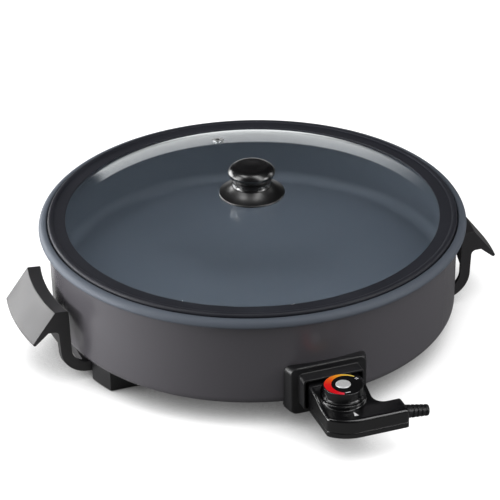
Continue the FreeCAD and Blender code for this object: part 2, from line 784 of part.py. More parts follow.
def knob_base():
    z1 = glass_top_z + knob_base_height
    rim, wall, neck = knob_base_radius, knob_base_wall, knob_neck_radius
    outer = turned([(0, glass_edge_z), (rim, glass_edge_z), (rim, glass_top_z + 0.6),
                    (rim - 0.2, glass_top_z + 1.0, rim - 0.7, glass_top_z + 1.3),
                    (neck + 5.0, z1 - 4.0, neck + 0.4, z1), (0, z1)])
    hollow = turned([(washer_radius, glass_edge_z), (rim - wall, glass_edge_z),
                     (rim - wall, glass_top_z + 0.2), (neck, z1 - wall - 0.6), (washer_radius, z1 - wall)])
    return outer.cut([hollow, dome_solid(0, glass_edge_z - 5),
                      post(0, 0, glass_edge_z, z1 + 1, knob_screw_radius)])


def knob_insert():
    z0 = glass_top_z + knob_base_height
    return post(0, 0, z0, z0 + insert_length, insert_radius).cut(
        post(0, 0, z0 - 1, z0 + insert_length - 2.0, knob_screw_radius))


def glass_inside_z():
    return glass_top_z - glass_thickness


def knob_gasket():
    z1 = glass_inside_z()
    disc = post(0, 0, z1 - gasket_sheet, z1, gasket_radius)
    sleeve = post(0, 0, z1 - gasket_sheet, glass_top_z, glass_hole_radius)
    return fused([disc.common(dome_solid(glass_thickness, glass_edge_z - 9)), sleeve]).cut(
        post(0, 0, z1 - 5, glass_top_z + 1, knob_screw_radius))


def knob_washer():
    z1 = glass_inside_z() - gasket_sheet
    return post(0, 0, z1 - washer_sheet, z1, washer_radius).cut(post(0, 0, z1 - 5, z1 + 1, knob_screw_radius))


def knob_screw():
    z1 = glass_inside_z() - gasket_sheet - washer_sheet
    z_tip = glass_top_z + knob_base_height + insert_length - 4.0
    return fused([post(0, 0, z1 - 2.2, z1, 4.6), post(0, 0, z1 - 2.2, z_tip, knob_screw_radius)])


# ---- control

def case_outline(inset, rear_y):
    """Plan of the L-shaped case, moved in by the inset."""
    left, right = inset - case_half_width, case_half_width - inset
    radius = front_radius - inset
    cy = front_y + front_radius
    turn_r = neck_corner - inset
    dx = left + turn_r - front_centre_x
    turn_y = cy - math.sqrt((radius - turn_r) ** 2 - dx ** 2)
    meet = math.atan2(turn_y - cy, dx)
    turn_mid = (meet - math.pi) / 2
    turn_to = (front_centre_x + radius * math.cos(meet), cy + radius * math.sin(meet))
    turn_via = (left + turn_r + turn_r * math.cos(turn_mid), turn_y + turn_r * math.sin(turn_mid))
    half_angle = meet / 2 - math.pi / 4
    mid = (front_centre_x + radius * math.cos(half_angle), cy + radius * math.sin(half_angle))
    front = front_y + inset
    end = arm_end - inset
    back = front_y + arm_width - inset
    r = max(arm_corner - inset, 0.4)
    k = r * (1 - math.sqrt(0.5))
    concave = arm_fillet + inset
    kc = concave * (1 - math.sqrt(0.5))
    rear = rear_y - inset
    return outline([
        (left, rear), (left, turn_y), (*turn_via, *turn_to), (*mid, front_centre_x, front), (end - r, front),
        (end - k, front + k, end, front + r), (end, back - r), (end - k, back - k, end - r, back),
        (right + concave, back), (right + kc, back + kc, right, back + concave), (right, rear)], "xy")


def case_top_cutter():
    """Everything above the case's top, which falls in two arcs from the nose to the arm."""
    y0, y1 = case_y + 1.5, dial_y - boss_radius
    run, fall = (y0 - y1) / 2, (nose_top_z - arm_top_z) / 2
    radius = (run ** 2 + fall ** 2) / (2 * fall)
    turn = math.asin(run / radius) / 2
    dy, dz = radius * math.sin(turn), radius * (1 - math.cos(turn))
    above = nose_top_z + case_below + nose_above
    wire = outline([
        (0, nose_top_z), (y0, nose_top_z),
        (y0 - dy, nose_top_z - dz, y0 - run, nose_top_z - fall),
        (y1 + dy, arm_top_z + dz, y1, arm_top_z),
        (front_y - arm_width, arm_top_z), (front_y - arm_width, above), (0, above)], "yz")
    wire.translate(V(-2 * arm_end, 0, 0))
    return Part.Face(wire).extrude(V(4 * arm_end, 0, 0))


def case_solid():
    """The outside of the case, nose and dial boss included."""
    body = prism(case_outline(0, case_y), case_bottom_z, nose_top_z + 5).cut(case_top_cutter())
    inner = prism(case_outline(1.0, case_y), case_bottom_z - 1, nose_top_z + 6)
    rims, base = [], []
    for edge in body.Edges:
        box = edge.BoundBox
        middle = edge.valueAt((edge.FirstParameter + edge.LastParameter) / 2)
        if middle.y < case_y - 0.5 and not inner.isInside(middle, 0.01, True):
            if box.ZMin > arm_top_z - 0.05:
                rims.append(edge)
            elif box.ZMax < case_bottom_z + 0.05:
                base.append(edge)
    body = body.makeFillet(case_edge, rims)
    nose = frame_prism(nose_half_width, plug_z - nose_below, nose_top_z, 2.5, nose_y, case_y - 4.0)
    boss = post(0, dial_y, parting_z + 4, boss_top_z, boss_radius)
    pocket = post(0, dial_y, boss_top_z, nose_top_z + 10, dial_radius + dial_side_gap)
    return fused([body, nose, boss]).cut(pocket)


def case_cavity():
    """The space inside the case."""
    top = arm_top_z - case_wall
    room = prism(case_outline(case_wall, case_y), case_bottom_z + case_wall, top)
    nose_room = block(-nose_half_width + case_wall, nose_half_width - case_wall,
                      nose_y - case_wall - carrier_length - 3.0, nose_y - case_wall,
                      parting_z, nose_top_z - case_wall - 1.0)
    return room.fuse(nose_room)


def case_posts(z0, z1, radius):
    """The four screw places of the case."""
    side_x = case_half_width - case_wall - case_boss_radius + 0.6
    rear_y = dial_y + 8.0
    arm_y = front_y + arm_width / 2
    places = [(-side_x, rear_y), (side_x, rear_y), (-13.0, front_y + 11.5), (arm_end - 14.0, arm_y)]
    return [post(x, y, z0, z1, radius) for x, y in places]


def relief_place(shape):
    """Move a shape built along +X from the origin to the end of the arm, tilted down."""
    shape.rotate(ORIGIN, Y, relief_tilt)
    shape.translate(V(arm_end, front_y + arm_width / 2 - 1.0, plug_z + relief_rise))
    return shape


def half(above):
    far = 2 * shell_radius
    z0, z1 = (parting_z, far) if above else (-far, parting_z)
    return block(-far, far, -far, far, z0, z1)


def relief_hole():
    return relief_place(Part.makeCylinder(relief_neck_radius, 12.0, V(-6, 0, 0), X))


def control_housing():
    shape = case_solid().common(half(True)).cut(case_cavity())
    posts = [p.common(case_solid()) for p in case_posts(parting_z, arm_top_z - 0.5, case_boss_radius)]
    shape = fused([shape] + posts)
    cuts = terminals(nose_y + 1, nose_y - case_wall - 1, contact_radius + 0.3)
    cuts.append(rod_y(0, plug_z, nose_y + 1, nose_y - case_wall - 1, probe_radius + 0.3))
    cuts.append(post(0, dial_y, parting_z, boss_top_z + 1, shaft_radius + shaft_clearance))
    cuts += case_posts(parting_z - 1, parting_z + 7.0, case_screw_radius)
    cuts.append(relief_hole())
    return shape.cut(cuts)


def control_cover():
    shape = case_solid().common(half(False)).cut(case_cavity())
    head_z = case_bottom_z + case_screw_head_height + 0.4
    posts = case_posts(case_bottom_z + 0.5, parting_z, case_boss_radius)
    shape = fused([shape] + posts)
    cuts = case_posts(case_bottom_z - 1, parting_z + 1, case_screw_radius)
    cuts += case_posts(case_bottom_z - 1, head_z, case_screw_head + 0.2)
    cuts.append(relief_hole())
    return shape.cut(cuts)


def housing_screws():
    z0 = case_bottom_z + 0.4
    heads = case_posts(z0, z0 + case_screw_head_height, case_screw_head)
    shanks = case_posts(z0, parting_z + 6.0, case_screw_radius)
    return Part.makeCompound([fused([h, s]) for h, s in zip(heads, shanks)])


def carrier_span():
    y0 = nose_y - case_wall
    return y0, y0 - carrier_length


def contact_carrier():
    y0, y1 = carrier_span()
    body = block(-carrier_half_width, carrier_half_width, y1, y0, parting_z, parting_z + carrier_height)
    cuts = terminals(y0 + 1, y1 - 1, contact_radius)
    cuts.append(rod_y(0, plug_z, y0 + 1, y1 - 1, probe_radius))
    return body.cut(cuts)


def contact_sleeves():
    start = nose_y - 1.0
    sleeves = zip(terminals(start, start - contact_length, contact_radius),
                  terminals(start + 1, pin_tip_y - 1.5, pin_radius + contact_clearance))
    return Part.makeCompound([outer.cut(bore) for outer, bore in sleeves])


def probe_rod():
    _, y1 = carrier_span()
    tip_y = nose_y + probe_length
    rod = rod_y(0, plug_z, tip_y, y1 - 2.0, probe_radius)
    tip = [e for e in rod.Edges if e.BoundBox.YMin > tip_y - 0.01]
    rod = rod.makeFillet(probe_radius - 0.3, tip)
    return fused([rod, rod_y(0, plug_z, y1, y1 - 2.0, probe_radius + 1.8)])


def thermostat_plate():
    y0, y1 = dial_y + thermostat_rear, dial_y - thermostat_front
    z0 = plug_z - 5.5
    plate = block(-9.0, 9.0, y1, y0, z0, z0 + 1.0)
    legs = [block(x - 1.0, x + 1.0, y1, y0, case_bottom_z + case_wall, z0) for x in (-8.0, 8.0)]
    return fused([plate] + legs).cut([post(0, dial_y, z0 - 1, z0 + 2, shaft_radius + shaft_clearance),
                                      post(0, stack_y(), z0 - 1, z0 + 2, case_screw_radius)])


def stack_y():
    return dial_y - thermostat_front + stack_inset


def stack_blocks():
    """Heights of the ceramic blocks and of the two blades between them."""
    z = plug_z - 4.5
    blocks, blades = [], []
    for i in range(3):
        blocks.append((z, z + 1.9))
        z += 1.9
        if i < 2:
            blades.append((z, z + 0.4))
            z += 0.4
    return blocks, blades


def blade_stack():
    y = stack_y()
    bore = post(0, y, 0, nose_top_z, case_screw_radius)
    return Part.makeCompound([block(-4.5, 4.5, y - 3.5, y + 3.5, z0, z1).cut(bore)
                              for z0, z1 in stack_blocks()[0]])


def contact_blades():
    y = stack_y()
    bore = post(0, y, 0, nose_top_z, case_screw_radius)
    tip = dial_y - shaft_radius - 2.0
    return Part.makeCompound([block(-2.5, 2.5, y - 3.5, tip, z0, z1).cut(bore)
                              for z0, z1 in stack_blocks()[1]])


def stack_screw():
    y, z_plate = stack_y(), plug_z - 5.5
    z1 = stack_blocks()[0][-1][1] - 0.3
    return fused([post(0, y, z_plate - 1.6, z_plate, 2.4), post(0, y, z_plate - 1.6, z1, case_screw_radius)])


def strain_relief():
    """Tapered sleeve with square-cut ribs, a neck in the case's wall and a flange inside it."""
    neck, root, end = relief_neck_radius, relief_root_radius, relief_end_radius
    skirt, groove_depth = relief_skirt, relief_groove
    pitch = (relief_length - skirt) / relief_rib_count
    path = [(relief_bore, -case_wall - relief_flange), (neck + 1.6, -case_wall - relief_flange),
            (neck + 1.6, 1.0 - case_wall), (neck, 1.0 - case_wall), (neck, -1.0), (root, -1.0)]
    for i in range(relief_rib_count):
        x0 = skirt + i * pitch
        r = root + (end - root) * x0 / relief_length
        path += [(r, x0), (r - groove_depth, x0), (r - groove_depth, x0 + pitch * 0.4),
                 (r, x0 + pitch * 0.4)]
    path += [(end, relief_length), (relief_bore, relief_length)]
    shape = turned(path)
    shape.rotate(ORIGIN, Y, 90.0)
    y0, y1 = front_y - 5, front_y + arm_width + 5
    wall = block(arm_end - case_wall, arm_end, y0, y1, 0, nose_top_z)
    ceiling = block(arm_end - 10, arm_end, y0, y1, arm_top_z - case_wall, nose_top_z)
    return relief_place(shape).cut([wall.cut(relief_hole()), ceiling])


# ---- dial

def dial_knob():
    z0, z1, r, top = dial_bottom_z, dial_top_z, dial_radius, dial_top_radius
    outer = turned([(0, z0), (r, z0), (r, z0 + 0.8), (r - 0.5, z0 + 1.3), (top + 0.1, z0 + 2.2),
                    (top, z1 - 0.9), (top - 0.2, z1 - 0.2, top - 0.8, z1), (0, z1)])
    inside = turned([(6.0, z0 - 1), (r - dial_skin, z0 - 1), (top - dial_skin, z0 + 2.0),
                     (top - dial_skin, z1 - 3.0), (6.0, z1 - 3.0)])
    recess = post(0, 0, z1 - face_thickness, z1 + 1, face_radius)
    shape = outer.cut([inside, recess])
    shape.translate(V(0, dial_y, 0))
    return shape.cut(shaft_top(z0 - 1))


def shaft_top(z0):
    """The D-shaped end of the shaft, from z0 up."""
    z1 = dial_top_z - 2.4
    keep = block(-shaft_radius - 1, shaft_flat, dial_y - shaft_radius - 1, dial_y + shaft_radius + 1, z0, z1)
    return post(0, dial_y, z0, z1, shaft_radius).common(keep)


def dial_face():
    z1 = dial_top_z
    disc = post(0, dial_y, z1 - face_thickness, z1, face_radius)
    return disc.cut(post(0, dial_y, z1 - face_thickness - 1, z1 + 1, cap_radius - 1.0))


def dial_cap():
    z0, z1, r = dial_top_z - face_thickness, dial_top_z, cap_radius
    shape = turned([(0, z0), (r - 1.0, z0), (r - 1.0, z1), (r, z1), (r, z1 + 0.3),
                    (r - 0.5, z1 + 0.8, r - 1.4, z1 + cap_height), (0, z1 + cap_height)])
    shape.translate(V(0, dial_y, 0))
    return shape


def dial_shaft():
    z_cam = arm_top_z - case_wall - cam_thickness - 0.5
    low = post(0, dial_y, plug_z - 5.8, dial_bottom_z, shaft_radius)
    cam = post(0.8, dial_y, z_cam, z_cam + cam_thickness, cam_radius - 0.8)
    return fused([low, cam, shaft_top(dial_bottom_z - 1)])


# ---- all nodes

NODES = {
    "pan": pan, "outer_shell": outer_shell, "bottom_plate": bottom_plate,
    "bottom_plate_screws": bottom_plate_screws, "heating_element": heating_element,
    "element_clamps": element_clamps, "clamp_screws": clamp_screws,
    "terminal_bushings": terminal_bushings, "terminal_pins": terminal_pins,
    "terminal_bracket": terminal_bracket, "probe_tube": probe_tube, "probe_guard": probe_guard,
    "guard_screws": guard_screws,
    "handle_left": lambda: handle(-1), "handle_right": lambda: handle(1),
    "foot_left": lambda: foot(-1), "foot_right": lambda: foot(1), "handle_screws": handle_screws,
    "lid_glass": lid_glass, "lid_ring": lid_ring, "vent_grommet": vent_grommet,
    "knob": knob, "knob_base": knob_base, "knob_insert": knob_insert, "knob_screw": knob_screw,
    "knob_washer": knob_washer, "knob_gasket": knob_gasket,
    "control_housing": control_housing, "control_cover": control_cover,
    "housing_screws": housing_screws, "probe_rod": probe_rod, "contact_sleeves": contact_sleeves,
    "contact_carrier": contact_carrier, "thermostat_plate": thermostat_plate,
    "contact_blades": contact_blades, "blade_stack": blade_stack, "stack_screw": stack_screw,
    "strain_relief": strain_relief,
    "dial_knob": dial_knob, "dial_face": dial_face, "dial_cap": dial_cap, "dial_shaft": dial_shaft,
}

os.makedirs("parts", exist_ok=True)
for name, make in NODES.items():
    save(name, make())
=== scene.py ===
import json
import math

import bmesh
import bpy
import numpy as np
from bpy.props import FloatProperty, FloatVectorProperty, PointerProperty
from mathutils import Matrix


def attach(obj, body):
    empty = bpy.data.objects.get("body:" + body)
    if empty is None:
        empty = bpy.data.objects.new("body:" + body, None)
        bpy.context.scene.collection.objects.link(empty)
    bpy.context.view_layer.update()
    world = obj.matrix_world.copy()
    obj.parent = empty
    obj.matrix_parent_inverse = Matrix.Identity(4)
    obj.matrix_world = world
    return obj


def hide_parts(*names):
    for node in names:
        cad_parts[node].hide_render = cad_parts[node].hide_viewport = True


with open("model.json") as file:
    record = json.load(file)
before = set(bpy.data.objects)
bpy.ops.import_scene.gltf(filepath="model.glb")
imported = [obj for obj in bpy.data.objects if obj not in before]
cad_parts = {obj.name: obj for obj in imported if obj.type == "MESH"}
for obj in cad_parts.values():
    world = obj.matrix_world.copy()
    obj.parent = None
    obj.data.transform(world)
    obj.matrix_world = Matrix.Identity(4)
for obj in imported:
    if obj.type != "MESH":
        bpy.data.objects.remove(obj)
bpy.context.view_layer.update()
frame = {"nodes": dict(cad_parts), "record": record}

bl_info = {
    "name": "Electric Wok",
    "version": (1, 0, 0),
    "blender": (4, 5, 0),
    "location": "3D View > Sidebar > Wok",
    "description": "Round electric wok with a glass lid and a plug-in temperature control",
    "category": "Object",
}

MM = 0.001
MERGE = 1e-7                     # metres within which two points are one
ROUND = 256                      # segments round the pan
ARC_STEP = 7.0                   # most degrees between two points of an arc
LONG_RUN, NEAR_END = 2.0, 0.25   # a run longer than this gets a point this near each of its ends
SHARP, SOFT_FROM = 32.0, 40.0    # degrees from which an edge stays sharp, and is rounded by soften
DIAGONAL = math.sqrt(0.5)        # a quarter circle's middle, as a share of its radius along each axis


# ---- surfaces as arrays, in millimetres

def arc(start, via, end):
    """Points on the circle through three points, from start to end, start left out."""
    a, b, c = (np.array(p, float) for p in (start, via, end))
    d = 2 * (a[0] * (b[1] - c[1]) + b[0] * (c[1] - a[1]) + c[0] * (a[1] - b[1]))
    if abs(d) < 1e-9:
        return c[None, :]
    sa, sb, sc = a @ a, b @ b, c @ c
    centre = np.array([(sa * (b[1] - c[1]) + sb * (c[1] - a[1]) + sc * (a[1] - b[1])) / d,
                       (sa * (c[0] - b[0]) + sb * (a[0] - c[0]) + sc * (b[0] - a[0])) / d])
    t0, t1, t2 = (math.atan2(*(p - centre)[::-1]) for p in (a, b, c))
    mid, sweep = (t1 - t0) % (2 * math.pi), (t2 - t0) % (2 * math.pi)
    if mid > sweep:
        sweep -= 2 * math.pi
    steps = max(2, math.ceil(abs(math.degrees(sweep)) / ARC_STEP))
    t = t0 + sweep * np.arange(1, steps + 1) / steps
    radius = np.linalg.norm(a - centre)
    return centre + radius * np.stack([np.cos(t), np.sin(t)], -1)


def run(last, end):
    """Points of a straight run after its first. A long one gets a point near each of its ends, so that
    smooth shading stays flat between them."""
    span = np.linalg.norm(end - last)
    if span > LONG_RUN:
        near = NEAR_END / span
        return np.stack([last + (end - last) * near, end + (last - end) * near, end])
    return end[None, :]


def traced(path):
    """A section as points: (x, y) is a straight run to there, (vx, vy, x, y) an arc through v, and
    (x, y, radius) a corner on the way to the next place, rounded by an arc that touches both runs."""
    points = [np.array([path[0]], float)]
    for step, after in zip(path[1:], [*path[2:], path[0]]):
        last = points[-1][-1]
        if len(step) == 4:
            points.append(arc(last, step[:2], step[2:]))
            continue
        end = np.array(step[:2], float)
        if len(step) == 2:
            points.append(run(last, end))
            continue
        back, ahead = last - end, np.array(after[:2]) - end
        back, ahead = back / np.linalg.norm(back), ahead / np.linalg.norm(ahead)
        half = math.acos(np.clip(back @ ahead, -1, 1)) / 2
        start, middle = end + back * step[2] / math.tan(half), back + ahead
        via = end + middle / np.linalg.norm(middle) * step[2] * (1 / math.sin(half) - 1)
        points.append(run(last, start))
        points.append(arc(start, via, end + ahead * step[2] / math.tan(half)))
    return np.concatenate(points)


def grid(points, close_rows=False, close_columns=False, caps=False):
    """A shell from a grid of points (rows, columns, 3): its faces by index arithmetic, wrapped round in
    either direction, and its two end rows capped if asked."""
    rows, columns = points.shape[:2]
    i, j = np.meshgrid(np.arange(rows if close_rows else rows - 1),
                       np.arange(columns if close_columns else columns - 1), indexing="ij")
    i1, j1 = (i + 1) % rows, (j + 1) % columns
    corners = [i * columns + j, i * columns + j1, i1 * columns + j1, i1 * columns + j]
    faces = np.stack(corners, -1).reshape(-1, 4).tolist()
    if caps:
        last = (rows - 1) * columns
        faces += [list(range(columns))[::-1], list(range(last, last + columns))]
    return points.reshape(-1, 3), faces


def lathe(section, closed=False, centre=(0.0, 0.0), segments=ROUND):
    """A section of (radius, height) points turned about a vertical axis: x = r cos t, y = r sin t."""
    t = np.linspace(0, 2 * np.pi, segments, endpoint=False)[:, None]
    r, z = section[None, :, 0], section[None, :, 1]
    points = np.stack([centre[0] + r * np.cos(t), centre[1] + r * np.sin(t), z + 0 * t], -1)
    return grid(points, close_rows=True, close_columns=closed)


def prism(outline, axis, ends):
    """A closed outline across axis 0, 1 or 2, carried straight along it between two places."""
    loops = [np.insert(outline, axis, place, axis=1) for place in ends]
    return grid(np.stack(loops), close_columns=True, caps=True)


def post(x, y, z0, z1, radius, edge=0.4, segments=48):
    """A short upright cylinder with rounded edges."""
    k = edge * (1 - DIAGONAL)
    section = traced([(0, z0), (radius - edge, z0), (radius - k, z0 + k, radius, z0 + edge),
                      (radius, z1 - edge), (radius - k, z1 - k, radius - edge, z1), (0, z1)])
    return lathe(section, centre=(x, y), segments=segments)


def rounded_rectangle(half_width, z0, z1, radius, corner_steps=6, side_steps=(14, 8)):
    """Points round an upright rectangle with rounded corners, always the same number, counter-clockwise
    from the right end of its base: a quarter circle at each corner, then an even straight run."""
    t = np.linspace(0, np.pi / 2, corner_steps)
    a, b = half_width - radius, (z1 - z0) / 2 - radius
    middle = (z0 + z1) / 2
    signs = ((1, -1), (1, 1), (-1, 1), (-1, -1))
    runs = []
    for k, (sx, sz) in enumerate(signs):
        start, end = (k - 1) * np.pi / 2, k * np.pi / 2
        corner = np.stack([sx * a + radius * np.cos(t + start),
                           middle + sz * b + radius * np.sin(t + start)], -1)
        nx, nz = signs[(k + 1) % 4]
        target = np.array([nx * a, middle + nz * b]) + radius * np.array([math.cos(end), math.sin(end)])
        share = np.linspace(0, 1, side_steps[1 - k % 2] + 2)[1:-1, None]
        runs += [corner, corner[-1] + (target - corner[-1]) * share]
    return np.concatenate(runs)


def moved(shell, matrix):
    """A shell moved by a 4 by 4 matrix."""
    points, faces = shell
    return points @ matrix[:3, :3].T + matrix[:3, 3], faces


def turn(axis, degrees):
    """A turn about X, Y or Z as a 4 by 4 matrix."""
    c, s = math.cos(math.radians(degrees)), math.sin(math.radians(degrees))
    m = np.eye(4)
    a, b = {"X": (1, 2), "Y": (2, 0), "Z": (0, 1)}[axis]
    m[a, a], m[a, b], m[b, a], m[b, b] = c, -s, s, c
    return m


def shift(x, y, z):
    """A move as a 4 by 4 matrix."""
    m = np.eye(4)
    m[:3, 3] = x, y, z
    return m


def volume(points, faces):
    """Signed volume of a shell, from a fan of triangles on each face."""
    total = 0.0
    sizes = {}
    for face in faces:
        sizes.setdefault(len(face), []).append(face)
    for count, group in sizes.items():
        corners = points[np.array(group)]
        for k in range(1, count - 1):
            total += np.einsum("ij,ij->", corners[:, 0], np.cross(corners[:, k], corners[:, k + 1]))
    return total / 6


def linked(name, data):
    """A new object in the scene."""
    obj = bpy.data.objects.new(name, data)
    bpy.context.scene.collection.objects.link(obj)
    return obj


def solid(name, shells):
    """One object in metres from closed shells in millimetres, with every face outwards."""
    points, faces, start = [], [], 0
    for p, f in shells:
        if volume(p, f) < 0:
            f = [face[::-1] for face in f]
        points.append(p * MM)
        faces += [[k + start for k in face] for face in f]
        start += len(p)
    mesh = bpy.data.meshes.new(name)
    mesh.from_pydata(np.concatenate(points).tolist(), [], faces)
    work = bmesh.new()
    work.from_mesh(mesh)
    bmesh.ops.remove_doubles(work, verts=work.verts, dist=MERGE)
    work.to_mesh(mesh)
    work.free()
    return linked(name, mesh)


def piece(name, shells, finish, body, replaces=(), sharp=SHARP):
    """A finished object from closed shells, smooth up to the sharp angle, that rides on a body."""
    obj = solid(name, shells)
    obj.data.shade_smooth()
    obj.data.set_sharp_from_angle(angle=math.radians(sharp))
    obj.data.materials.append(FINISH[finish])
    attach(obj, body)
    if replaces:
        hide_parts(*replaces)
    return obj


def cut_out(obj, shell):
    """Cut a closed shell's space out of an object, and leave no modifier behind."""
    cutter = solid("cutter", [shell])
    cut = obj.modifiers.new("cut", "BOOLEAN")
    cut.operation, cut.solver, cut.object = "DIFFERENCE", "EXACT", cutter
    graph = bpy.context.evaluated_depsgraph_get()
    done = bpy.data.meshes.new_from_object(obj.evaluated_get(graph))
    obj.modifiers.clear()
    obj.data = done
    bpy.data.objects.remove(cutter)
    done.set_sharp_from_angle(angle=math.radians(SHARP))


def soften(obj, width, steps):
    """Small rounded edges on a finished piece, with shading that keeps its large faces flat."""
    bevel = obj.modifiers.new("edges", "BEVEL")
    bevel.width, bevel.segments, bevel.limit_method = width * MM, steps, "ANGLE"
    bevel.angle_limit, bevel.harden_normals = math.radians(SOFT_FROM), True


# ---- finishes

EVEN = (1, 1, 1)                 # a pattern that isn't stretched in any direction
GRAIN_DEPTH = 0.00003            # metres
RAMP_FROM, RAMP_TO = 0.3, 0.7    # the part of a noise that a ramp runs over


class Tree:
    """The emptied node tree of a material or a world, with short calls."""

    def __init__(self, owner):
        owner.use_nodes = True
        self.owner, self.tree = owner, owner.node_tree
        self.tree.nodes.clear()

    def add(self, kind, *inputs, **settings):
        """A node, where each of its inputs is a socket or a value, then the input's name or number."""
        node = self.tree.nodes.new(kind)
        for key, value in settings.items():
            setattr(node, key, value)
        for source, key in inputs:
            if isinstance(source, bpy.types.NodeSocket):
                self.tree.links.new(source, node.inputs[key])
            else:
                node.inputs[key].default_value = source
        return node

    def path(self, name):
        return self.add("ShaderNodeLightPath").outputs[name]


class FinishTree(Tree):
    """A new material with what every finish here needs."""

    def __init__(self, name):
        super().__init__(bpy.data.materials.new(name))
        self.place = self.add("ShaderNodeTexCoord").outputs["Object"]

    def noise(self, scale, detail=3.0, roughness=0.5, stretch=None):
        place = self.place
        if stretch:
            place = self.add("ShaderNodeMapping", (place, "Vector"), (stretch, "Scale")).outputs[0]
        return self.add("ShaderNodeTexNoise", (place, "Vector"), (scale, "Scale"), (detail, "Detail"),
                        (roughness, "Roughness")).outputs["Fac"]

    def colours(self, value, stops):
        """A value turned into a colour that goes through the stops."""
        node = self.add("ShaderNodeValToRGB", (value, "Fac"))
        elements = node.color_ramp.elements
        while len(elements) < len(stops):
            elements.new(0.5)
        for element, (place, colour) in zip(elements, stops):
            element.position, element.color = place, (*colour, 1)
        return node.outputs["Color"]

    def ramp(self, value, low, high):
        """A noise turned into a colour or number between low and high."""
        if isinstance(low, tuple):
            return self.colours(value, ((RAMP_FROM, low), (RAMP_TO, high)))
        return self.add("ShaderNodeMapRange", (value, "Value"), (RAMP_FROM, "From Min"),
                        (RAMP_TO, "From Max"), (low, "To Min"), (high, "To Max")).outputs["Result"]

    def bump(self, height, strength, distance, after=None):
        inputs = [(height, "Height"), (strength, "Strength"), (distance, "Distance")]
        if after:
            inputs.append((after, "Normal"))
        return self.add("ShaderNodeBump", *inputs).outputs["Normal"]

    def done(self, shader):
        """The material with its output."""
        self.add("ShaderNodeOutputMaterial", (shader.outputs[0], "Surface"))
        return self.owner

    def surface(self, **values):
        """The material with a Principled shader of these inputs."""
        inputs = [(value, key.replace("_", " ")) for key, value in values.items()]
        return self.done(self.add("ShaderNodeBsdfPrincipled", *inputs))


def shade(colour, factor):
    """A colour made darker or lighter."""
    return tuple(min(1.0, c * factor) for c in colour)


def moulded(name, colour, roughness, grain=0.12, scale=1800.0, spread=0.12, edge=0.0, even=0.88,
            **more):
    """Moulded plastic or rubber: fine grain, slow changes of gloss, a little colour drift, and edges
    that look rounded over so many millimetres."""
    n = FinishTree(name)
    slow, fine = n.noise(28.0, 4.0), n.noise(scale, 2.0)
    soft = n.add("ShaderNodeBevel", (edge * MM, "Radius"), samples=8).outputs[0] if edge else None
    return n.surface(Base_Color=n.ramp(slow, shade(colour, 1 - spread), shade(colour, 1 + spread)),
                     Roughness=n.ramp(slow, roughness * even, roughness * (2 - even)),
                     Normal=n.bump(fine, grain, GRAIN_DEPTH, soft), **more)


def painted(name, colour, roughness, metallic, flake=0.08, **more):
    """Fired or painted metal: tiny flakes of light and dark and an orange-peel skin."""
    n = FinishTree(name)
    flakes, skin, slow = n.noise(2600.0, 1.0), n.noise(420.0, 2.0), n.noise(9.0, 3.0)
    return n.surface(Base_Color=n.ramp(flakes, shade(colour, 1 - flake), shade(colour, 1 + flake)),
                     Metallic=metallic, Roughness=n.ramp(slow, roughness * 0.92, roughness * 1.08),
                     Normal=n.bump(flakes, 0.05, 0.00002, n.bump(skin, 0.06, 0.0001)), **more)


def plain_metal(name, colour, roughness, stretch=(1.0, 1.0, 40.0), brush=0.25):
    """Bare metal with fine drawn lines and a slow change of brightness."""
    n = FinishTree(name)
    lines, slow = n.noise(160.0, 4.0, 0.6, stretch), n.noise(35.0, 3.0)
    return n.surface(Base_Color=n.ramp(slow, shade(colour, 0.9), shade(colour, 1.06)), Metallic=1.0,
                     Roughness=n.ramp(lines, roughness * 0.7, roughness * 1.3),
                     Normal=n.bump(lines, brush, GRAIN_DEPTH))


def clear_glass(name, tint, roughness):
    """Tempered glass that bends light, lets lamps through, and has faint smears of gloss."""
    n = FinishTree(name)
    smears = n.ramp(n.noise(14.0, 4.0), 0.0, roughness)
    glass = n.add("ShaderNodeBsdfGlass", ((*tint, 1), "Color"), (smears, "Roughness"), (1.5, "IOR"))
    clear = n.add("ShaderNodeBsdfTransparent", ((*shade(tint, 0.97), 1), "Color"))
    return n.done(n.add("ShaderNodeMixShader", (n.path("Is Shadow Ray"), "Fac"), (glass.outputs[0], 1),
                        (clear.outputs[0], 2)))


def heat_print(name, tones):
    """Printed ink whose colour goes through the tones along the piece's own band_share attribute."""
    n = FinishTree(name)
    share = n.add("ShaderNodeAttribute", attribute_name="band_share").outputs["Fac"]
    return n.surface(Base_Color=n.colours(share, tones), Roughness=n.ramp(n.noise(900.0), 0.3, 0.42),
                     Specular_IOR_Level=0.15)


def ink(name, colour):
    """Plain printed ink with a slightly uneven gloss."""
    n = FinishTree(name)
    return n.surface(Base_Color=n.ramp(n.noise(600.0), shade(colour, 0.94), colour),
                     Roughness=n.ramp(n.noise(900.0), 0.35, 0.5))


HEAT_PRINT_AND_HIGHLIGHT = (                   # place along the band, colour
    # painted highlight: this first stop's pinkish red fades to the plain red print by the next,
    # standing in for a highlight at the band's hot end
    (0.0, (0.74, 0.04, 0.07)),
    (0.12, (0.70, 0.004, 0.012)),
    (0.42, (0.74, 0.012, 0.012)),
    (0.56, (0.80, 0.08, 0.010)),
    (0.70, (0.84, 0.27, 0.015)),
    (0.86, (0.84, 0.50, 0.05)),
    (1.0, (0.82, 0.64, 0.14)),
)
FINISH = {}


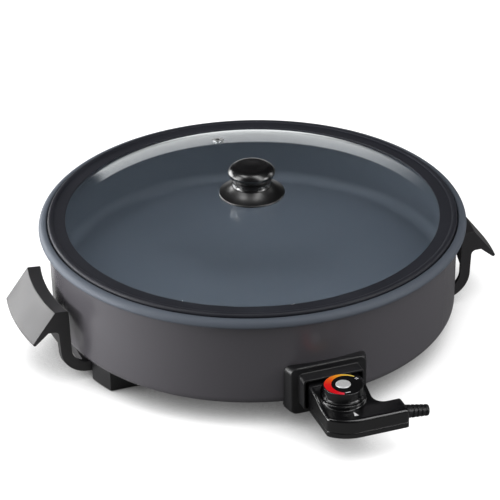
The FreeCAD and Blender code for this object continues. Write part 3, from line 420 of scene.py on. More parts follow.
def make_finishes(tones):
    """Every finish by its name."""
    black = tones.black
    return {
        "pan_coating": painted("slate coating", tones.pan, 0.55, 0.1, Specular_IOR_Level=0.35),
        "shell_finish": painted("satin paint", tones.shell, 0.25, 0.15, 0.05),
        "plate_steel": plain_metal("zinc plate", (0.55, 0.56, 0.57), 0.38),
        "screw_steel": plain_metal("screw steel", (0.62, 0.62, 0.63), 0.28, EVEN, 0.1),
        "element_sheath": plain_metal("element sheath", (0.30, 0.30, 0.31), 0.5, EVEN, 0.3),
        "ceramic": moulded("ceramic", (0.80, 0.77, 0.70), 0.5, 0.3, 900.0, 0.05),
        "contact_metal": plain_metal("contact metal", (0.70, 0.66, 0.55), 0.25, EVEN, 0.1),
        "matt_black": moulded("satin black moulding", shade(black, 1.2), 0.40, 0.2, 1500.0, edge=0.4),
        "case_black": moulded("case moulding", shade(black, 0.5), 0.21, 0.03, 1300.0, 0.1, edge=2.4,
                              even=0.96, Specular_IOR_Level=0.8),
        "lid_glass": clear_glass("lid glass", tones.glass, 0.02),
        "silicone": moulded("silicone", tones.ring, 0.56, 0.1, 2200.0, 0.08, Specular_IOR_Level=0.4),
        "grip_grey": moulded("dark grey moulding", tones.grip, 0.42, 0.2, 1500.0, edge=0.4),
        "knob_black": moulded("knob moulding", shade(black, 0.5), 0.27, 0.02, 1300.0, 0.1, even=0.98,
                              Specular_IOR_Level=1.0),
        "skirt_black": moulded("knob skirt moulding", shade(black, 0.4), 0.34, 0.02, 1300.0, 0.1,
                               even=0.98, Specular_IOR_Level=1.0),
        "gloss_black": moulded("gloss black moulding", shade(black, 0.6), 0.22, 0.03, 1300.0, 0.1,
                               Specular_IOR_Level=0.6),
        "brass": plain_metal("brass", (0.72, 0.55, 0.27), 0.3, EVEN, 0.1),
        "probe_steel": plain_metal("probe steel", (0.60, 0.60, 0.60), 0.22),
        "soft_black": moulded("flexible black", shade(black, 1.3), 0.36, 0.1, 1600.0),
        "dial_print": moulded("dial lacquer", shade(black, 0.2), 0.18, 0.02, 1500.0, 0.1,
                              Specular_IOR_Level=0.12),
        "cap_silver": painted("silver cap", (0.86, 0.87, 0.89), 0.34, 0.45, 0.2),
        "vent_steel": plain_metal("vent steel", (0.46, 0.47, 0.47), 0.28, EVEN, 0.05),
        "white_ink": ink("white ink", (0.75, 0.75, 0.76)),
        "heat_ink": heat_print("heat ink", HEAT_PRINT_AND_HIGHLIGHT),
    }


# ---- sizes and colours that a user would change

def length(name, description, default, low, high):
    return FloatProperty(name=name, description=description, default=default, min=low, max=high,
                         unit="LENGTH")


def tone(name, description, default):
    return FloatVectorProperty(name=name, description=description, default=default, subtype="COLOR",
                               size=3, min=0.0, max=1.0)


class WokSizes(bpy.types.PropertyGroup):
    cooking_radius: length("Cooking radius", "Inside wall of the pan at its lip", 0.1765, 0.1, 0.3)
    lip_radius: length("Lip radius", "Outer edge of the pan's rolled lip", 0.189, 0.1, 0.3)
    dome_rise: length("Dome rise", "Gentle part of the glass dome", 0.0125, 0.0, 0.06)
    knee_rise: length("Knee rise", "Steep part of the glass near its rim", 0.008, 0.0, 0.03)
    knob_radius: length("Knob radius", "Widest part of the lid's knob", 0.0208, 0.01, 0.04)
    handle_half_width: length("Handle half width", "Half the width of each side handle", 0.0428,
                              0.02, 0.06)
    dial_radius: length("Dial radius", "Flared foot of the temperature dial", 0.018, 0.01, 0.03)


class WokTones(bpy.types.PropertyGroup):
    pan: tone("Pan", "Coating of the pan and its lip", (0.099, 0.115, 0.142))
    shell: tone("Shell", "Painted outer wall", (0.108, 0.103, 0.115))
    glass: tone("Glass", "Tint of the lid's glass", (0.97, 0.985, 0.99))
    ring: tone("Ring", "Silicone ring round the glass", (0.015, 0.016, 0.023))
    grip: tone("Grip", "Side handles", (0.027, 0.026, 0.028))
    black: tone("Black", "Knob, control and feet", (0.008, 0.008, 0.009))
    floor: tone("Floor", "Floor and backdrop", (0.90, 0.90, 0.90))


# ---- the pieces, in millimetres

FLOOR_Z, UNDER_Z, SEAT_Z = 50.0, 46.0, 104.5            # pan: its floor, underside and lid seat
LIP_BOTTOM, LIP_TOP, LIP_STEP = 101.6, 109.1, 5.2       # the step lies this far outside the wall
RIDGE_IN, RIDGE_OUT, RIDGE_Z = 103.0, 117.0, 38.5       # ridge that holds the heating element
PILLAR_X, PILLAR_Y, PILLAR_Z = 156.0, 22.0, 21.8        # pillars that the handles are screwed to
BOSS_RADIUS, BOSS_Z = 70.0, 25.6                        # bosses of the bottom plate
SHELL_RADIUS, SHELL_BASE, SHELL_CORNER = 181.0, 21.0, 9.0
SHELL_DRAFT, SHEET, BASE_HOLE = 1.5, 0.8, 146.0         # the wall leans in by the first
WINDOW = (24.0, 27.0, 45.0, 3.0)                        # half width, bottom, top, corner radius
GLASS_EDGE, GLASS_TOP, GLASS_THICK = 109.9, 130.4, 4.0
RING_WIDTH, RING_GAP, RING_TOP, RING_LAP = 15.7, 0.8, 110.5, 8.3   # it laps the glass by the last
VENT_RADIUS, VENT_ANGLE, VENT_BORE = 120.0, 85.0, 3.22
KNOB_NECK, KNOB_FOOT, KNOB_TOP = 17.4, GLASS_TOP + 8.0, GLASS_TOP + 27.0
ARM_TOP = 43.1
SLEEVE_AT, SLEEVE_TILT = (45.5, -243.5, 35.6), 8.5
DIAL_Y, DIAL_LOW, DIAL_TOP, FACE_RADIUS, CAP_HOLE = -217.6, 47.4, 57.4, 16.1, 5.4
PRINT_SUNK = 0.02                                       # a print starts this far under its surface


def size(key):
    """A size of the panel in millimetres."""
    return getattr(bpy.context.scene.wok_sizes, key) / MM


class WOK_OT_finishes(bpy.types.Operator):
    """Make the finishes and give them to the nodes that keep their own shape"""
    bl_idname = "wok.finishes"
    bl_label = "Finishes"

    def execute(self, context):
        FINISH.update(make_finishes(context.scene.wok_tones))
        chosen = {part["node"]: part["material_slot"] for part in frame["record"]["subparts"]}
        chosen.update(control_housing="case_black", control_cover="case_black")
        for name, obj in frame["nodes"].items():
            finish = FINISH[chosen[name]]
            if not obj.material_slots:
                obj.data.materials.append(finish)
            for holder in obj.material_slots:
                holder.material = finish
        return {"FINISHED"}


class WOK_OT_pan(bpy.types.Operator):
    """Cast pan with its rolled lip, element ridge and posts, turned about the Z axis"""
    bl_idname = "wok.pan"
    bl_label = "Pan"

    def execute(self, context):
        inner, lip = size("cooking_radius"), size("lip_radius")
        bend, wall = 10.0, 2.5
        foot, step, around = inner - 0.9, inner + LIP_STEP, bend + wall
        flat, k, k2 = foot - bend, bend * DIAGONAL, around * DIAGONAL
        section = traced([
            (0, FLOOR_Z), (flat, FLOOR_Z), (flat + k, FLOOR_Z + bend - k, foot, FLOOR_Z + bend),
            (inner, SEAT_Z - 2), (inner + 0.586, SEAT_Z - 0.586, inner + 2, SEAT_Z), (step, SEAT_Z),
            (step, LIP_TOP - 1.6), (step + 0.4, LIP_TOP - 0.4, step + 1.6, LIP_TOP),
            (lip - 1.7, LIP_TOP - 1.8, lip - 0.002, LIP_BOTTOM + 2.2),
            (lip - 0.6, LIP_BOTTOM + 0.6, lip - 2.2, LIP_BOTTOM), (inner + wall, LIP_BOTTOM),
            (foot + wall, UNDER_Z + around), (flat + k2, UNDER_Z + around - k2, flat, UNDER_Z),
            (RIDGE_OUT, UNDER_Z), (RIDGE_OUT, RIDGE_Z), (RIDGE_IN, RIDGE_Z), (RIDGE_IN, UNDER_Z),
            (0, UNDER_Z)])
        into_floor = FLOOR_Z - 1
        pillars = [post(sx * PILLAR_X, sy * PILLAR_Y, PILLAR_Z, into_floor, 6.0)
                   for sx in (1, -1) for sy in (1, -1)]
        bosses = [post(BOSS_RADIUS * math.cos(t), BOSS_RADIUS * math.sin(t), BOSS_Z, into_floor, 5.0)
                  for t in np.radians([45, 135, 225, 315])]
        piece("cast_pan", [lathe(section), *pillars, *bosses], "pan_coating", "base",
              ["pan"])
        return {"FINISHED"}


def shell_r(z):
    """Outer radius of the shell at a height: drafted wall, then a quarter circle into the base."""
    def wall(z):
        return SHELL_RADIUS - SHELL_DRAFT * (LIP_BOTTOM - z) / (LIP_BOTTOM - SHELL_BASE)

    centre_z = SHELL_BASE + SHELL_CORNER
    low = np.clip(centre_z - np.asarray(z, float), 0, SHELL_CORNER)
    bend = wall(centre_z) - SHELL_CORNER + np.sqrt(SHELL_CORNER ** 2 - low ** 2)
    return np.where(np.asarray(z) >= centre_z, wall(z), bend)


class WOK_OT_shell(bpy.types.Operator):
    """Drawn sheet wall round the pan, with its window for the socket"""
    bl_idname = "wok.shell"
    bl_label = "Outer shell"

    def execute(self, context):
        corner, base, top = SHELL_CORNER, SHELL_BASE, LIP_BOTTOM
        z = base + corner
        r = float(shell_r(z)) - corner
        k, k2 = corner * DIAGONAL, (corner - SHEET) * DIAGONAL
        section = traced([
            (BASE_HOLE, base), (r, base), (r + k, z - k, r + corner, z), (SHELL_RADIUS, top),
            (SHELL_RADIUS - SHEET, top), (r + corner - SHEET, z), (r + k2, z - k2, r, base + SHEET),
            (BASE_HOLE, base + SHEET), (BASE_HOLE, base)])[:-1]
        shell = piece("shell_wall", [lathe(section, closed=True)], "shell_finish", "base",
                      ["outer_shell"])
        cut_out(shell, prism(rounded_rectangle(*WINDOW), 1, (-190.0, -165.0)))
        return {"FINISHED"}


def glass_radius():
    """Radius inside the ring, where the glass starts to show."""
    return size("cooking_radius") + LIP_STEP - RING_GAP - RING_WIDTH


def dome_z(r, drop=0.0):
    """Height of the glass: edge + gentle (1 - s^2) + knee (1 - s^8), with s a share of the radius."""
    s = np.minimum(r / glass_radius(), 1.0)
    return GLASS_EDGE + size("dome_rise") * (1 - s ** 2) + size("knee_rise") * (1 - s ** 8) - drop


def at_vent(shell):
    """A shell built about Z at the origin moved to the vent, square to the glass."""
    slope = dome_z(VENT_RADIUS + 0.5) - dome_z(VENT_RADIUS - 0.5)
    lean = turn("Y", -math.degrees(math.atan(slope)))
    return moved(shell, turn("Z", VENT_ANGLE) @ shift(VENT_RADIUS, 0, dome_z(VENT_RADIUS)) @ lean)


class WOK_OT_lid(bpy.types.Operator):
    """Domed glass, silicone ring and steam vent"""
    bl_idname = "wok.lid"
    bl_label = "Lid"

    def execute(self, context):
        inner, screw_hole = glass_radius(), 3.0
        rim, high, low = inner + RING_LAP, GLASS_EDGE, GLASS_EDGE - GLASS_THICK
        r = inner * np.sin(np.linspace(0, np.pi / 2, 60)) ** 0.8
        r = np.concatenate([[screw_hole], r[r > 2 * screw_hole]])
        top = np.stack([r, dome_z(r)], -1)
        under = np.stack([r, dome_z(r, GLASS_THICK)], -1)[::-1]
        edge = traced([
            (inner + 0.2, high), (rim - 1, high), (rim - 0.29, high - 0.29, rim, high - 1),
            (rim, low + 1), (rim - 0.29, low + 0.29, rim - 1, low), (inner + 0.2, low)])
        glass = piece("lid_dome", [lathe(np.concatenate([top, edge, under]), closed=True)],
                      "lid_glass", "lid", ["lid_glass"], 40.0)
        cut_out(glass, at_vent(post(0, 0, -12, 6, VENT_BORE, 0.1)))

        outer, skirt, foot, up = inner + RING_WIDTH, size("cooking_radius") - 0.6, 101.2, RING_TOP
        section = traced([
            (skirt, SEAT_Z + 0.3), (outer, SEAT_Z + 0.3), (outer, high - 1),
            (outer - 0.7, up + 0.3, outer - 2.4, up + 1), (outer - 4.2, up + 0.75, outer - 5, up + 0.2),
            (outer - 5.4, up), (inner + 0.8, up), (inner + 0.2, up - 0.2, inner, high), (rim, high),
            (rim, low), (inner + 1.8, low), (inner + 1.8, SEAT_Z), (skirt - 3, foot),
            (skirt - 0.4, foot), (skirt, foot + 0.4)])
        piece("ring_band", [lathe(section, closed=True)], "silicone", "lid", ["lid_ring"])

        bore, neck, flange = 2.2, 3.2, 5.2
        eyelet = traced([
            (bore, -4.7), (flange, -4.7), (flange, -4.0), (neck, -4.0), (neck, 0), (flange, 0),
            (flange, 0.3), (flange - 0.12, 0.58, flange - 0.4, 0.7), (bore + 0.4, 0.7),
            (bore + 0.12, 0.58, bore, 0.3)])
        piece("vent_eyelet", [at_vent(lathe(eyelet, closed=True, segments=64))], "vent_steel", "lid",
              ["vent_grommet"])
        return {"FINISHED"}


class WOK_OT_knob(bpy.types.Operator):
    """Mushroom knob with a slightly domed crown, and its flared skirt"""
    bl_idname = "wok.knob"
    bl_label = "Knob"

    def execute(self, context):
        wide, neck, foot, top = size("knob_radius"), KNOB_NECK, KNOB_FOOT, KNOB_TOP
        wide_z, crown, drop, bore = top - 6.0, wide - 8.6, 0.7, 4.2
        sphere = (crown ** 2 + drop ** 2) / (2 * drop)
        via = (crown / 2, top - sphere + math.sqrt(sphere ** 2 - crown ** 2 / 4))
        section = traced([
            (0, foot + 12), (bore, foot + 12), (bore, foot), (neck - 0.5, foot),
            (neck - 0.15, foot + 0.15, neck, foot + 0.5),
            (neck - 0.8, foot + 3.0, neck - 0.2, wide_z - 7.0),
            (wide - 1.0, wide_z - 3.6, wide, wide_z),
            (wide - 3.4, wide_z + 4.1, crown, top - drop), (*via, 0, top)])
        piece("knob_cap", [lathe(section, segments=160)], "knob_black", "lid", ["knob"])

        rim, wall, hole, hub, glass = 29.0, 2.0, 2.4, 9.0, GLASS_TOP
        inside, outside = dome_z(np.array([rim - wall, rim]))
        skirt = traced([
            (rim, outside), (rim, glass + 0.6), (rim - 0.2, glass + 1.0, rim - 0.7, glass + 1.3),
            (neck + 5.0, foot - 4.0, neck + 0.4, foot), (hole, foot), (hole, glass - 0.01),
            (hub, glass - 0.1), (hub, foot - wall), (neck, foot - wall - 0.6),
            (rim - wall, glass + 0.2), (rim - wall, inside)])
        piece("knob_skirt", [lathe(skirt, closed=True, segments=160)], "skirt_black", "lid",
              ["knob_base"])
        return {"FINISHED"}


class WOK_OT_handles(bpy.types.Operator):
    """Side handles: one section carried round the pan's axis to a straight width (x is the root of
    r^2 - y^2), with an arch cut through it that leaves two legs"""
    bl_idname = "wok.handles"
    bl_label = "Handles"

    def execute(self, context):
        end, x0, z0 = 147.0, 173.0, 33.0         # strap's end, and the centre of its turn into the arm
        out, within = 24.4, 15.0                 # radii of that turn
        k, k2 = out * DIAGONAL, within * DIAGONAL
        strap = [(end, z0 - out), (x0, z0 - out), (x0 + k, z0 - k, x0 + out, z0)]
        flare = [(198.65, 53.5, 4.4), (207.6, 53.5), (218.96, 43.68), (221.0, 44.1, 221.2, 45.6)]
        top = [(200.87, 72.7, 1.6), (189.17, 71.55, 1.3)]
        back = [(x0 + within, z0), (x0 + k2, z0 - k2, x0, z0 - within), (end, z0 - within)]
        section = traced([*strap, *flare, *top, *back, strap[0]])[:-1]
        half = size("handle_half_width")
        y = np.linspace(-half, half, 27)[:, None]
        x = np.sqrt(section[:, 0] ** 2 - y ** 2)
        body = grid(np.stack([x, y + 0 * x, section[:, 1] + 0 * x], -1), close_columns=True, caps=True)
        pads = [post(PILLAR_X, sy * PILLAR_Y, 9.6, 21, 8.0) for sy in (1, -1)]
        leg, spring, crest = 38, 40, 45          # arch: half width, and heights at its sides and middle
        arch = traced([(-leg, 0), (-leg, spring), (0, crest, leg, spring), (leg, 0)])
        arch = prism(arch, 0, (x0, 226.2))
        for name, side, node in (("grip_right", 0, "handle_right"), ("grip_left", 180, "handle_left")):
            shells = [moved(s, turn("Z", side)) for s in (body, *pads)]
            grip = piece(name, shells, "grip_grey", "base", [node])
            cut_out(grip, moved(arch, turn("Z", side)))
            soften(grip, 0.35, 3)
        return {"FINISHED"}


class WOK_OT_guard(bpy.types.Operator):
    """Bezel and collar round the socket: rounded rectangles joined from the wall to the rim and back"""
    bl_idname = "wok.guard"
    bl_label = "Socket guard"

    def execute(self, context):
        back_y, deep_y, side_y, face_y, collar_y = -173.4, -178.0, -181.5, -185.5, -197.0
        collar, collar_wall = (27.3, 25.5, 54.4, 3.0), 1.9

        def bezel(y):
            """Half width, bottom, top and corner radius of the flared bezel at a depth."""
            return 33.4 + 2.2 * (y - face_y) / 4.5, 15.3, 60.3, 6.0

        def on_wall(ring):
            """Depths of a ring on the shell: minus the root of r(z)^2 - x^2, or the guard's back."""
            reach = np.sqrt(np.maximum(shell_r(ring[:, 1]) ** 2 - ring[:, 0] ** 2, 1.0))
            return np.where(ring[:, 1] > SHELL_BASE, np.minimum(-reach, back_y), back_y)

        def loop(ring, y):
            return np.insert(ring, 1, y, axis=1)

        def level(box, inset, y, corner_share=1.0):
            """A box moved in by an inset, at a depth; its corner radius shrinks by a share of that."""
            half, low, high, corner = box
            return loop(rounded_rectangle(half - inset, low + inset, high - inset,
                                          corner - inset * corner_share), y)

        def quarter(radius, *angles):
            """Steps round an edge: how far each lies inside the side and behind the face."""
            a = np.radians(angles)
            return zip(radius * (1 - np.cos(a)), radius * (1 - np.sin(a)))

        outer_back, rim, edge = rounded_rectangle(*bezel(deep_y)), 1.8, 0.6
        loops = [loop(outer_back, on_wall(outer_back)),
                 level(bezel(side_y), 0, np.minimum(on_wall(outer_back), side_y))]
        for inside, behind in quarter(rim, 0, 18, 36, 54, 72, 90):
            loops.append(level(bezel(face_y + rim), inside, face_y + behind, 0.6))
        for grow, ahead in ((0.9, 0), (0.45, 0.12), (0.12, 0.45), (0, 0.9)):
            loops.append(level(collar, -grow, face_y - ahead))
        for inside, behind in quarter(edge, 0, 30, 60, 90):
            loops.append(level(collar, inside, collar_y + behind))
        for inside, behind in quarter(edge, 90, 60, 30, 0):
            loops.append(level(collar, collar_wall - inside, collar_y + behind, 0.5))
        inner = rounded_rectangle(25.4, 27.4, 52.5, 2.0)
        loops.append(loop(inner, on_wall(inner)))
        for share in (0.25, 0.5, 0.75):
            between = inner + (outer_back - inner) * share
            loops.append(loop(between, on_wall(between)))
        body = grid(np.stack(loops), close_rows=True, close_columns=True)
        piece("socket_guard", [body], "matt_black", "base", ["probe_guard"])
        return {"FINISHED"}


class WOK_OT_control(bpy.types.Operator):
    """Ribbed cord sleeve, turned about its axis and tilted onto the arm's end, and the arm's pointer"""
    bl_idname = "wok.control"
    bl_label = "Control"

    def execute(self, context):
        length, skirt, ribs, depth = 20.0, 4.0, 4, 0.8
        root, end, neck, bore, edge = 5.8, 4.8, 4.6, 3.4, 0.25
        pitch, k = (length - skirt) / ribs, edge * (1 - DIAGONAL)
        path = [(bore, -2.0), (neck, -2.0), (neck, -0.2), (root, -0.2), (root, 0.2)]
        for x0 in skirt + pitch * np.arange(ribs):
            r = root + (end - root) * x0 / length
            x1 = x0 + pitch * 0.4
            path += [(r, x0 - edge), (r - k, x0 - k, r - edge, x0), (r - depth, x0), (r - depth, x1),
                     (r - edge, x1), (r - k, x1 + k, r, x1 + edge)]
        path += [(end, length - 0.5), (end - 0.15, length - 0.15, end - 0.5, length), (bore, length)]
        place = shift(*SLEEVE_AT) @ turn("Y", SLEEVE_TILT) @ turn("Y", 90.0)
        piece("cord_sleeve", [moved(lathe(traced(path), closed=True, segments=96), place)],
              "soft_black", "control", ["strain_relief"])

        pointer = np.array([(0.6, -239.4), (-1.0, -245.8), (2.8, -245.8)])
        piece("pointer_print", [prism(pointer, 2, (ARM_TOP - PRINT_SUNK, ARM_TOP + 0.06))],
              "white_ink", "control")
        return {"FINISHED"}


def dial_band(inner, outer, angles):
    """A thin closed print on the dial: between two radii, given along the angles, and two heights."""
    t = np.radians(angles)
    low, high = DIAL_TOP - PRINT_SUNK, DIAL_TOP + 0.05
    columns = [np.stack([r * np.cos(t), DIAL_Y + r * np.sin(t), 0 * t + z], -1)
               for r, z in ((inner, low), (outer, low), (outer, high), (inner, high))]
    return grid(np.stack(columns, 1), close_columns=True, caps=True)


class WOK_OT_dial(bpy.types.Operator):
    """Dial, its face with the heat ring and marks, and the silver cap"""
    bl_idname = "wok.dial"
    bl_label = "Dial"

    def execute(self, context):
        r, top, low, high = size("dial_radius"), size("dial_radius") - 1.2, DIAL_LOW, DIAL_TOP
        seat, face, hole, axis = DIAL_TOP - 0.8, FACE_RADIUS, CAP_HOLE, (0, DIAL_Y)
        body = traced([
            (6, low), (r, low), (r, low + 0.8), (r - 0.1, low + 1.1, r - 0.5, low + 1.3),
            (top + 0.1, low + 2.2), (top, high, 0.6), (face, high), (face, seat), (6, seat)])
        piece("dial_body", [lathe(body, closed=True, centre=axis, segments=128)], "gloss_black",
              "dial", ["dial_knob"])
        disc = traced([(hole, seat), (face, seat), (face, high), (hole, high)])
        piece("dial_disc", [lathe(disc, closed=True, centre=axis, segments=128)], "dial_print",
              "dial", ["dial_face"])
        cap = traced([(0, seat), (hole, seat), (hole, high), (hole + 1, high), (hole + 1, high + 0.3),
                      (hole + 0.5, high + 0.8, hole - 0.4, high + 1), (0, high + 1)])
        piece("dial_button", [lathe(cap, centre=axis, segments=96)], "cap_silver", "dial",
              ["dial_cap"])

        hot, mild, steps, blur = 253.0, 32.0, 140, 29
        beyond = blur // 2                       # degrees added at each end, which the blur takes off
        inner = np.interp(np.linspace(hot + beyond, mild - beyond, steps + blur - 1),
                          [32, 49, 79, 108, 150, 215, 240, 253],
                          [15.4, 14.5, 13.3, 11.5, 9.6, 10.8, 13.0, 13.4])
        inner = np.convolve(inner, np.full(blur, 1 / blur), "valid")
        band = piece("heat_band", [dial_band(inner, face - 0.1, np.linspace(hot, mild, steps))],
                     "heat_ink", "dial")
        mesh = band.data
        co = np.empty(len(mesh.vertices) * 3, np.float32)
        mesh.vertices.foreach_get("co", co)
        co = co.reshape(-1, 3) / MM
        around = np.degrees(np.arctan2(co[:, 1] - DIAL_Y, co[:, 0])) % 360
        share = mesh.attributes.new("band_share", "FLOAT", "POINT")
        share.data.foreach_set("value", ((hot - around) / (hot - mild)).astype(np.float32))

        marks = [dial_band(r0, r1, np.linspace(first, last, 8)) for r0, r1, first, last in (
            (12.6, 13.5, 257.0, 276.0), (13.3, 15.9, 14.0, 17.0), (13.3, 15.9, 20.5, 23.5))]
        piece("dial_marks", marks, "white_ink", "dial")
        return {"FINISHED"}


# ---- light, floor and camera, in metres

# name, direction from the object, distance, width, height, brightness of the lamp's face
LAMPS = (
    ("rear_card", (-0.65, 0.76, 0.165), 1.7, 1.1, 0.7, 8.0),
    ("left_low", (-0.97, 0.22, 0.10), 1.7, 0.5, 0.4, 26.0),
    ("left_side", (-0.90, 0.0, 0.42), 1.6, 0.6, 1.2, 4.6),
    ("over_left", (-0.42, 0.0, 0.90), 1.5, 0.5, 0.4, 6.0),
    ("over_front", (0.29, -0.55, 0.78), 1.5, 0.45, 1.8, 4.1),
    ("right", (0.95, 0.02, 0.30), 1.6, 0.35, 0.6, 3.5),
    ("right_front", (0.75, -0.65, 0.25), 1.6, 0.4, 0.6, 8.0),
)
LAMP_AIM = (0, 0, 0.08)
BACK, ACROSS = (0.335, 0.942, 0.0), (0.942, -0.335, 0.0)   # level: away from and across the view
AMBIENT = 0.04
GLOOM, BAND = 0.01, 1.0          # the room in gloss: dark, with a bright low band at the back
BAND_TOP = (0.215, 0.24)         # the band's edges, as parts of a unit direction: up,
BAND_LEFT, BAND_RIGHT = (-0.25, -0.2), (0.02, 0.38)        # across
BAND_BACK = (0.0, 0.1)           # and back
SWEEP_BACK, SWEEP_SIDE = (0.22, 0.4), (0.1, 0.45)          # where the floor carries the band on
FLOOR_HALF_SIDE = 6.0
FLOOR_PAINTED_LIGHT_SIDE, PAINTED_LIGHT_EDGE = (-0.75, 0.66, 0.0), (-0.05, 0.25)    # painted light: the floor's colour is palest on this side, as if lamps shone on it
PAINTED_LIGHT_NEAR, PAINTED_LIGHT_FAR = (0.23, 0.40), 0.6                      # and less so further out
FLOOR_PAINTED_SHADE = 0.3                  # painted shade: the rest of the floor, as a share of its tone
FLOOR_GAIN, FLOOR_WHITE = 3.5, 0.85  # seen floor: how bright its paint is, and its share of even white
WHITE_FAR = (0.5, 1.2)           # from the object outwards, over which that share grows to 1
PAINTED_SHADE_REACH, PAINTED_SHADE_EDGE = 0.065, 0.75    # painted shade: reach of the darkening round what stands on the floor, and its edge


class StageTree(Tree):
    """The node tree of the floor's paint or of the world."""

    def maths(self, operation, a, b=0):
        return self.add("ShaderNodeMath", (a, 0), (b, 1), operation=operation).outputs[0]

    def dot(self, place, direction):
        return self.add("ShaderNodeVectorMath", (place, 0), (direction, 1),
                        operation="DOT_PRODUCT").outputs[1]

    def mix(self, share, a, b, colour=False):
        """Between two numbers or two colours."""
        if colour:
            return self.add("ShaderNodeMix", (share, 0), (a, 6), (b, 7), data_type="RGBA").outputs[2]
        return self.add("ShaderNodeMix", (share, 0), (a, 2), (b, 3), data_type="FLOAT").outputs[0]

    def between(self, value, span, low=0.0, high=1.0):
        """A smooth step from one number to another while the value crosses a span."""
        return self.add("ShaderNodeMapRange", (value, 0), (span[0], 1), (span[1], 2), (low, 3),
                        (high, 4), interpolation_type="SMOOTHSTEP").outputs[0]

    def seen(self):
        """1 where the camera sees this directly or through glass only, else 0."""
        bounces = self.maths("ADD", self.path("Diffuse Depth"), self.path("Glossy Depth"))
        through = self.maths("MULTIPLY", self.path("Is Transmission Ray"),
                             self.maths("LESS_THAN", bounces, 0.5))
        return self.maths("MAXIMUM", self.path("Is Camera Ray"), through)


def softbox(name, direction, distance, width, height, brightness):
    """A rectangular lamp that faces the object: its power is brightness times pi times its area."""
    lamp = bpy.data.lights.new(name, "AREA")
    lamp.shape, lamp.size, lamp.size_y = "RECTANGLE", width, height
    lamp.energy = brightness * math.pi * width * height
    obj = linked(name, lamp)
    obj.visible_camera = False
    back = np.array(direction) / np.linalg.norm(direction)
    right = np.cross((0, 0, 1), back)
    right /= np.linalg.norm(right)
    set_matrix(obj, right, np.cross(back, right), back, back * distance + LAMP_AIM)


def set_matrix(obj, right, up, back, place):
    """Place an object by its three axes and its position."""
    obj.matrix_world = Matrix([*np.stack([right, up, back, place], 1).tolist(), (0, 0, 0, 1)])


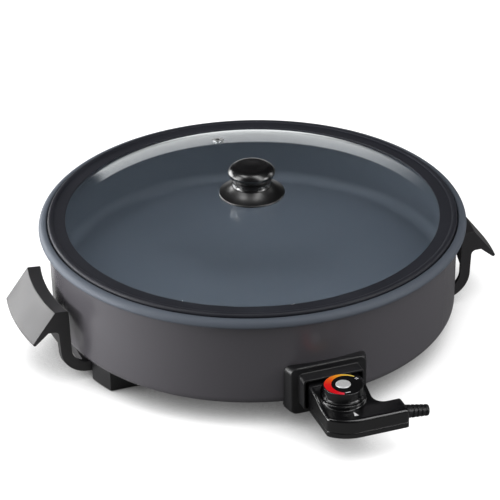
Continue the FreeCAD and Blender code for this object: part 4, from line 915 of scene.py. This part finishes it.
class WOK_OT_stage(bpy.types.Operator):
    """Floor, world, lamps and camera"""
    bl_idname = "wok.stage"
    bl_label = "Stage"

    def execute(self, context):
        scene = context.scene
        scene.view_settings.view_transform = "Standard"
        self.floor(scene)
        self.room(scene)
        for lamp in LAMPS:
            softbox(*lamp)
        self.camera(scene)
        return {"FINISHED"}

    def floor(self, scene):
        """A plain sheet with painted light and shade: dim, but for a pale side that stands in for where
        the lamps fall, which the object reflects and gets light from. Where it is seen directly or
        through glass it is instead bright paint mixed with even white, both darkened by painted shade
        close round what stands on it. In gloss its back part carries the room's bright band on."""
        far = FLOOR_HALF_SIDE
        mesh = bpy.data.meshes.new("floor")
        mesh.from_pydata([(-far, -far, 0), (far, -far, 0), (far, far, 0), (-far, far, 0)], [],
                         [(0, 1, 2, 3)])
        floor = linked("floor", mesh)
        tree = StageTree(bpy.data.materials.new("floor paint"))
        place = tree.add("ShaderNodeTexCoord").outputs["Object"]
        reach = tree.add("ShaderNodeVectorMath", (place, 0), operation="LENGTH").outputs[1]
        pale = scene.wok_tones.floor
        # painted light and shade: the floor's colour is pale on one side near the object and dim
        # elsewhere, in place of light falling there
        painted_light = tree.maths("MULTIPLY", tree.between(tree.dot(place, FLOOR_PAINTED_LIGHT_SIDE), PAINTED_LIGHT_EDGE),
                         tree.between(reach, PAINTED_LIGHT_NEAR, 1.0, PAINTED_LIGHT_FAR))
        paint = tree.mix(painted_light, (*shade(pale, FLOOR_PAINTED_SHADE), 1), (*pale, 1), colour=True)
        # painted shade: the seen floor's white and its even glow are darkened by occlusion close round
        # what stands on it
        open_sky = tree.add("ShaderNodeAmbientOcclusion", (PAINTED_SHADE_REACH, "Distance"), samples=16).outputs["AO"]
        clear = tree.between(open_sky, (0.0, PAINTED_SHADE_EDGE))
        white = tree.mix(clear, (0.0, 0.0, 0.0, 1), (*[FLOOR_GAIN] * 3, 1), colour=True)
        seen = tree.seen()
        shown = tree.mix(seen, paint, white, colour=True)
        diffuse = tree.add("ShaderNodeBsdfDiffuse", (shown, "Color"))
        even = tree.add("ShaderNodeEmission", (clear, "Strength"))
        even_share = tree.maths("MULTIPLY", seen, tree.between(reach, WHITE_FAR, FLOOR_WHITE, 1.0))
        lifted = tree.add("ShaderNodeMixShader", (even_share, 0), (diffuse.outputs[0], 1),
                          (even.outputs[0], 2))
        glow = tree.add("ShaderNodeEmission", (BAND, "Strength"))
        aside = tree.maths("ABSOLUTE", tree.dot(place, ACROSS))
        sweep = tree.maths("MULTIPLY", tree.between(tree.dot(place, BACK), SWEEP_BACK),
                           tree.between(aside, SWEEP_SIDE, 1.0, 0.0))
        sweep = tree.maths("MULTIPLY", sweep, tree.path("Is Glossy Ray"))
        both = tree.add("ShaderNodeMixShader", (sweep, 0), (lifted.outputs[0], 1), (glow.outputs[0], 2))
        tree.add("ShaderNodeOutputMaterial", (both.outputs[0], "Surface"))
        mesh.materials.append(tree.owner)

    def room(self, scene):
        """White where it is seen directly or through glass. In gloss it is a dark room with a bright
        low band at the back, and for plain light an even dim one."""
        scene.world = bpy.data.worlds.new("studio")
        tree = StageTree(scene.world)
        place = tree.add("ShaderNodeTexCoord").outputs["Generated"]
        height = tree.add("ShaderNodeSeparateXYZ", (place, 0)).outputs["Z"]
        side = tree.dot(place, ACROSS)
        narrow = tree.maths("MULTIPLY", tree.between(side, BAND_LEFT),
                            tree.between(side, BAND_RIGHT, 1.0, 0.0))
        rear = tree.maths("MULTIPLY", narrow, tree.between(tree.dot(place, BACK), BAND_BACK))
        band = tree.maths("MULTIPLY", tree.between(height, BAND_TOP, 1.0, 0.0), rear)
        gloss = tree.between(band, (0.0, 1.0), GLOOM, BAND)
        level = tree.mix(tree.path("Diffuse Depth"), gloss, AMBIENT)
        level = tree.mix(tree.seen(), level, 1.0)
        glow = tree.add("ShaderNodeBackground", ((1, 1, 1, 1), "Color"), (level, "Strength"))
        tree.add("ShaderNodeOutputWorld", (glow.outputs[0], "Surface"))

    def camera(self, scene):
        """Camera by azimuth, elevation and a small roll, aimed so that the lip's centre falls where it
        should in the frame."""
        azimuth, elevation, roll = np.radians([-19.59, 28.57, 0.98])
        distance, target = 2.5, np.array([0, 0, 0.103])
        width, focal, aim_x, aim_y = 500.0, 2824.9, 2.4, 30.6    # pixels
        back = np.array([math.sin(azimuth) * math.cos(elevation),
                         -math.cos(azimuth) * math.cos(elevation), math.sin(elevation)])
        level = np.array([math.cos(azimuth), math.sin(azimuth), 0])
        upright = np.cross(back, level)
        right = math.cos(roll) * level - math.sin(roll) * upright
        up = math.sin(roll) * level + math.cos(roll) * upright
        aimed = back + right * aim_x / focal + up * aim_y / focal
        aimed /= np.linalg.norm(aimed)
        right = right - aimed * (right @ aimed)
        right /= np.linalg.norm(right)
        data = bpy.data.cameras.new("camera")
        data.sensor_width = 36.0
        data.lens = focal / width * data.sensor_width
        data.clip_start, data.clip_end = 0.05, 50.0
        obj = linked("camera", data)
        set_matrix(obj, right, np.cross(aimed, right), aimed, target + distance * back)
        scene.camera = obj


class WOK_PT_panel(bpy.types.Panel):
    """Sizes, tones and pieces of the wok"""
    bl_idname = "WOK_PT_panel"
    bl_label = "Electric Wok"
    bl_space_type = "VIEW_3D"
    bl_region_type = "UI"
    bl_category = "Wok"

    def draw(self, context):
        layout = self.layout
        for group in (context.scene.wok_sizes, context.scene.wok_tones):
            box = layout.box()
            for key in group.__annotations__:
                box.prop(group, key)
        for operator in OPERATORS:
            layout.operator(operator.bl_idname)


OPERATORS = (WOK_OT_finishes, WOK_OT_pan, WOK_OT_shell, WOK_OT_lid, WOK_OT_knob, WOK_OT_handles,
             WOK_OT_guard, WOK_OT_control, WOK_OT_dial, WOK_OT_stage)
CLASSES = (WokSizes, WokTones, *OPERATORS, WOK_PT_panel)


def register():
    for cls in CLASSES:
        bpy.utils.register_class(cls)
    bpy.types.Scene.wok_sizes = PointerProperty(type=WokSizes)
    bpy.types.Scene.wok_tones = PointerProperty(type=WokTones)


def unregister():
    del bpy.types.Scene.wok_tones
    del bpy.types.Scene.wok_sizes
    for cls in reversed(CLASSES):
        bpy.utils.unregister_class(cls)


def main():
    """Register the panel's classes, then make every piece in order."""
    register()
    for operator in OPERATORS:
        group, name = operator.bl_idname.split(".")
        getattr(getattr(bpy.ops, group), name)()


if __name__ == "__main__":
    main()
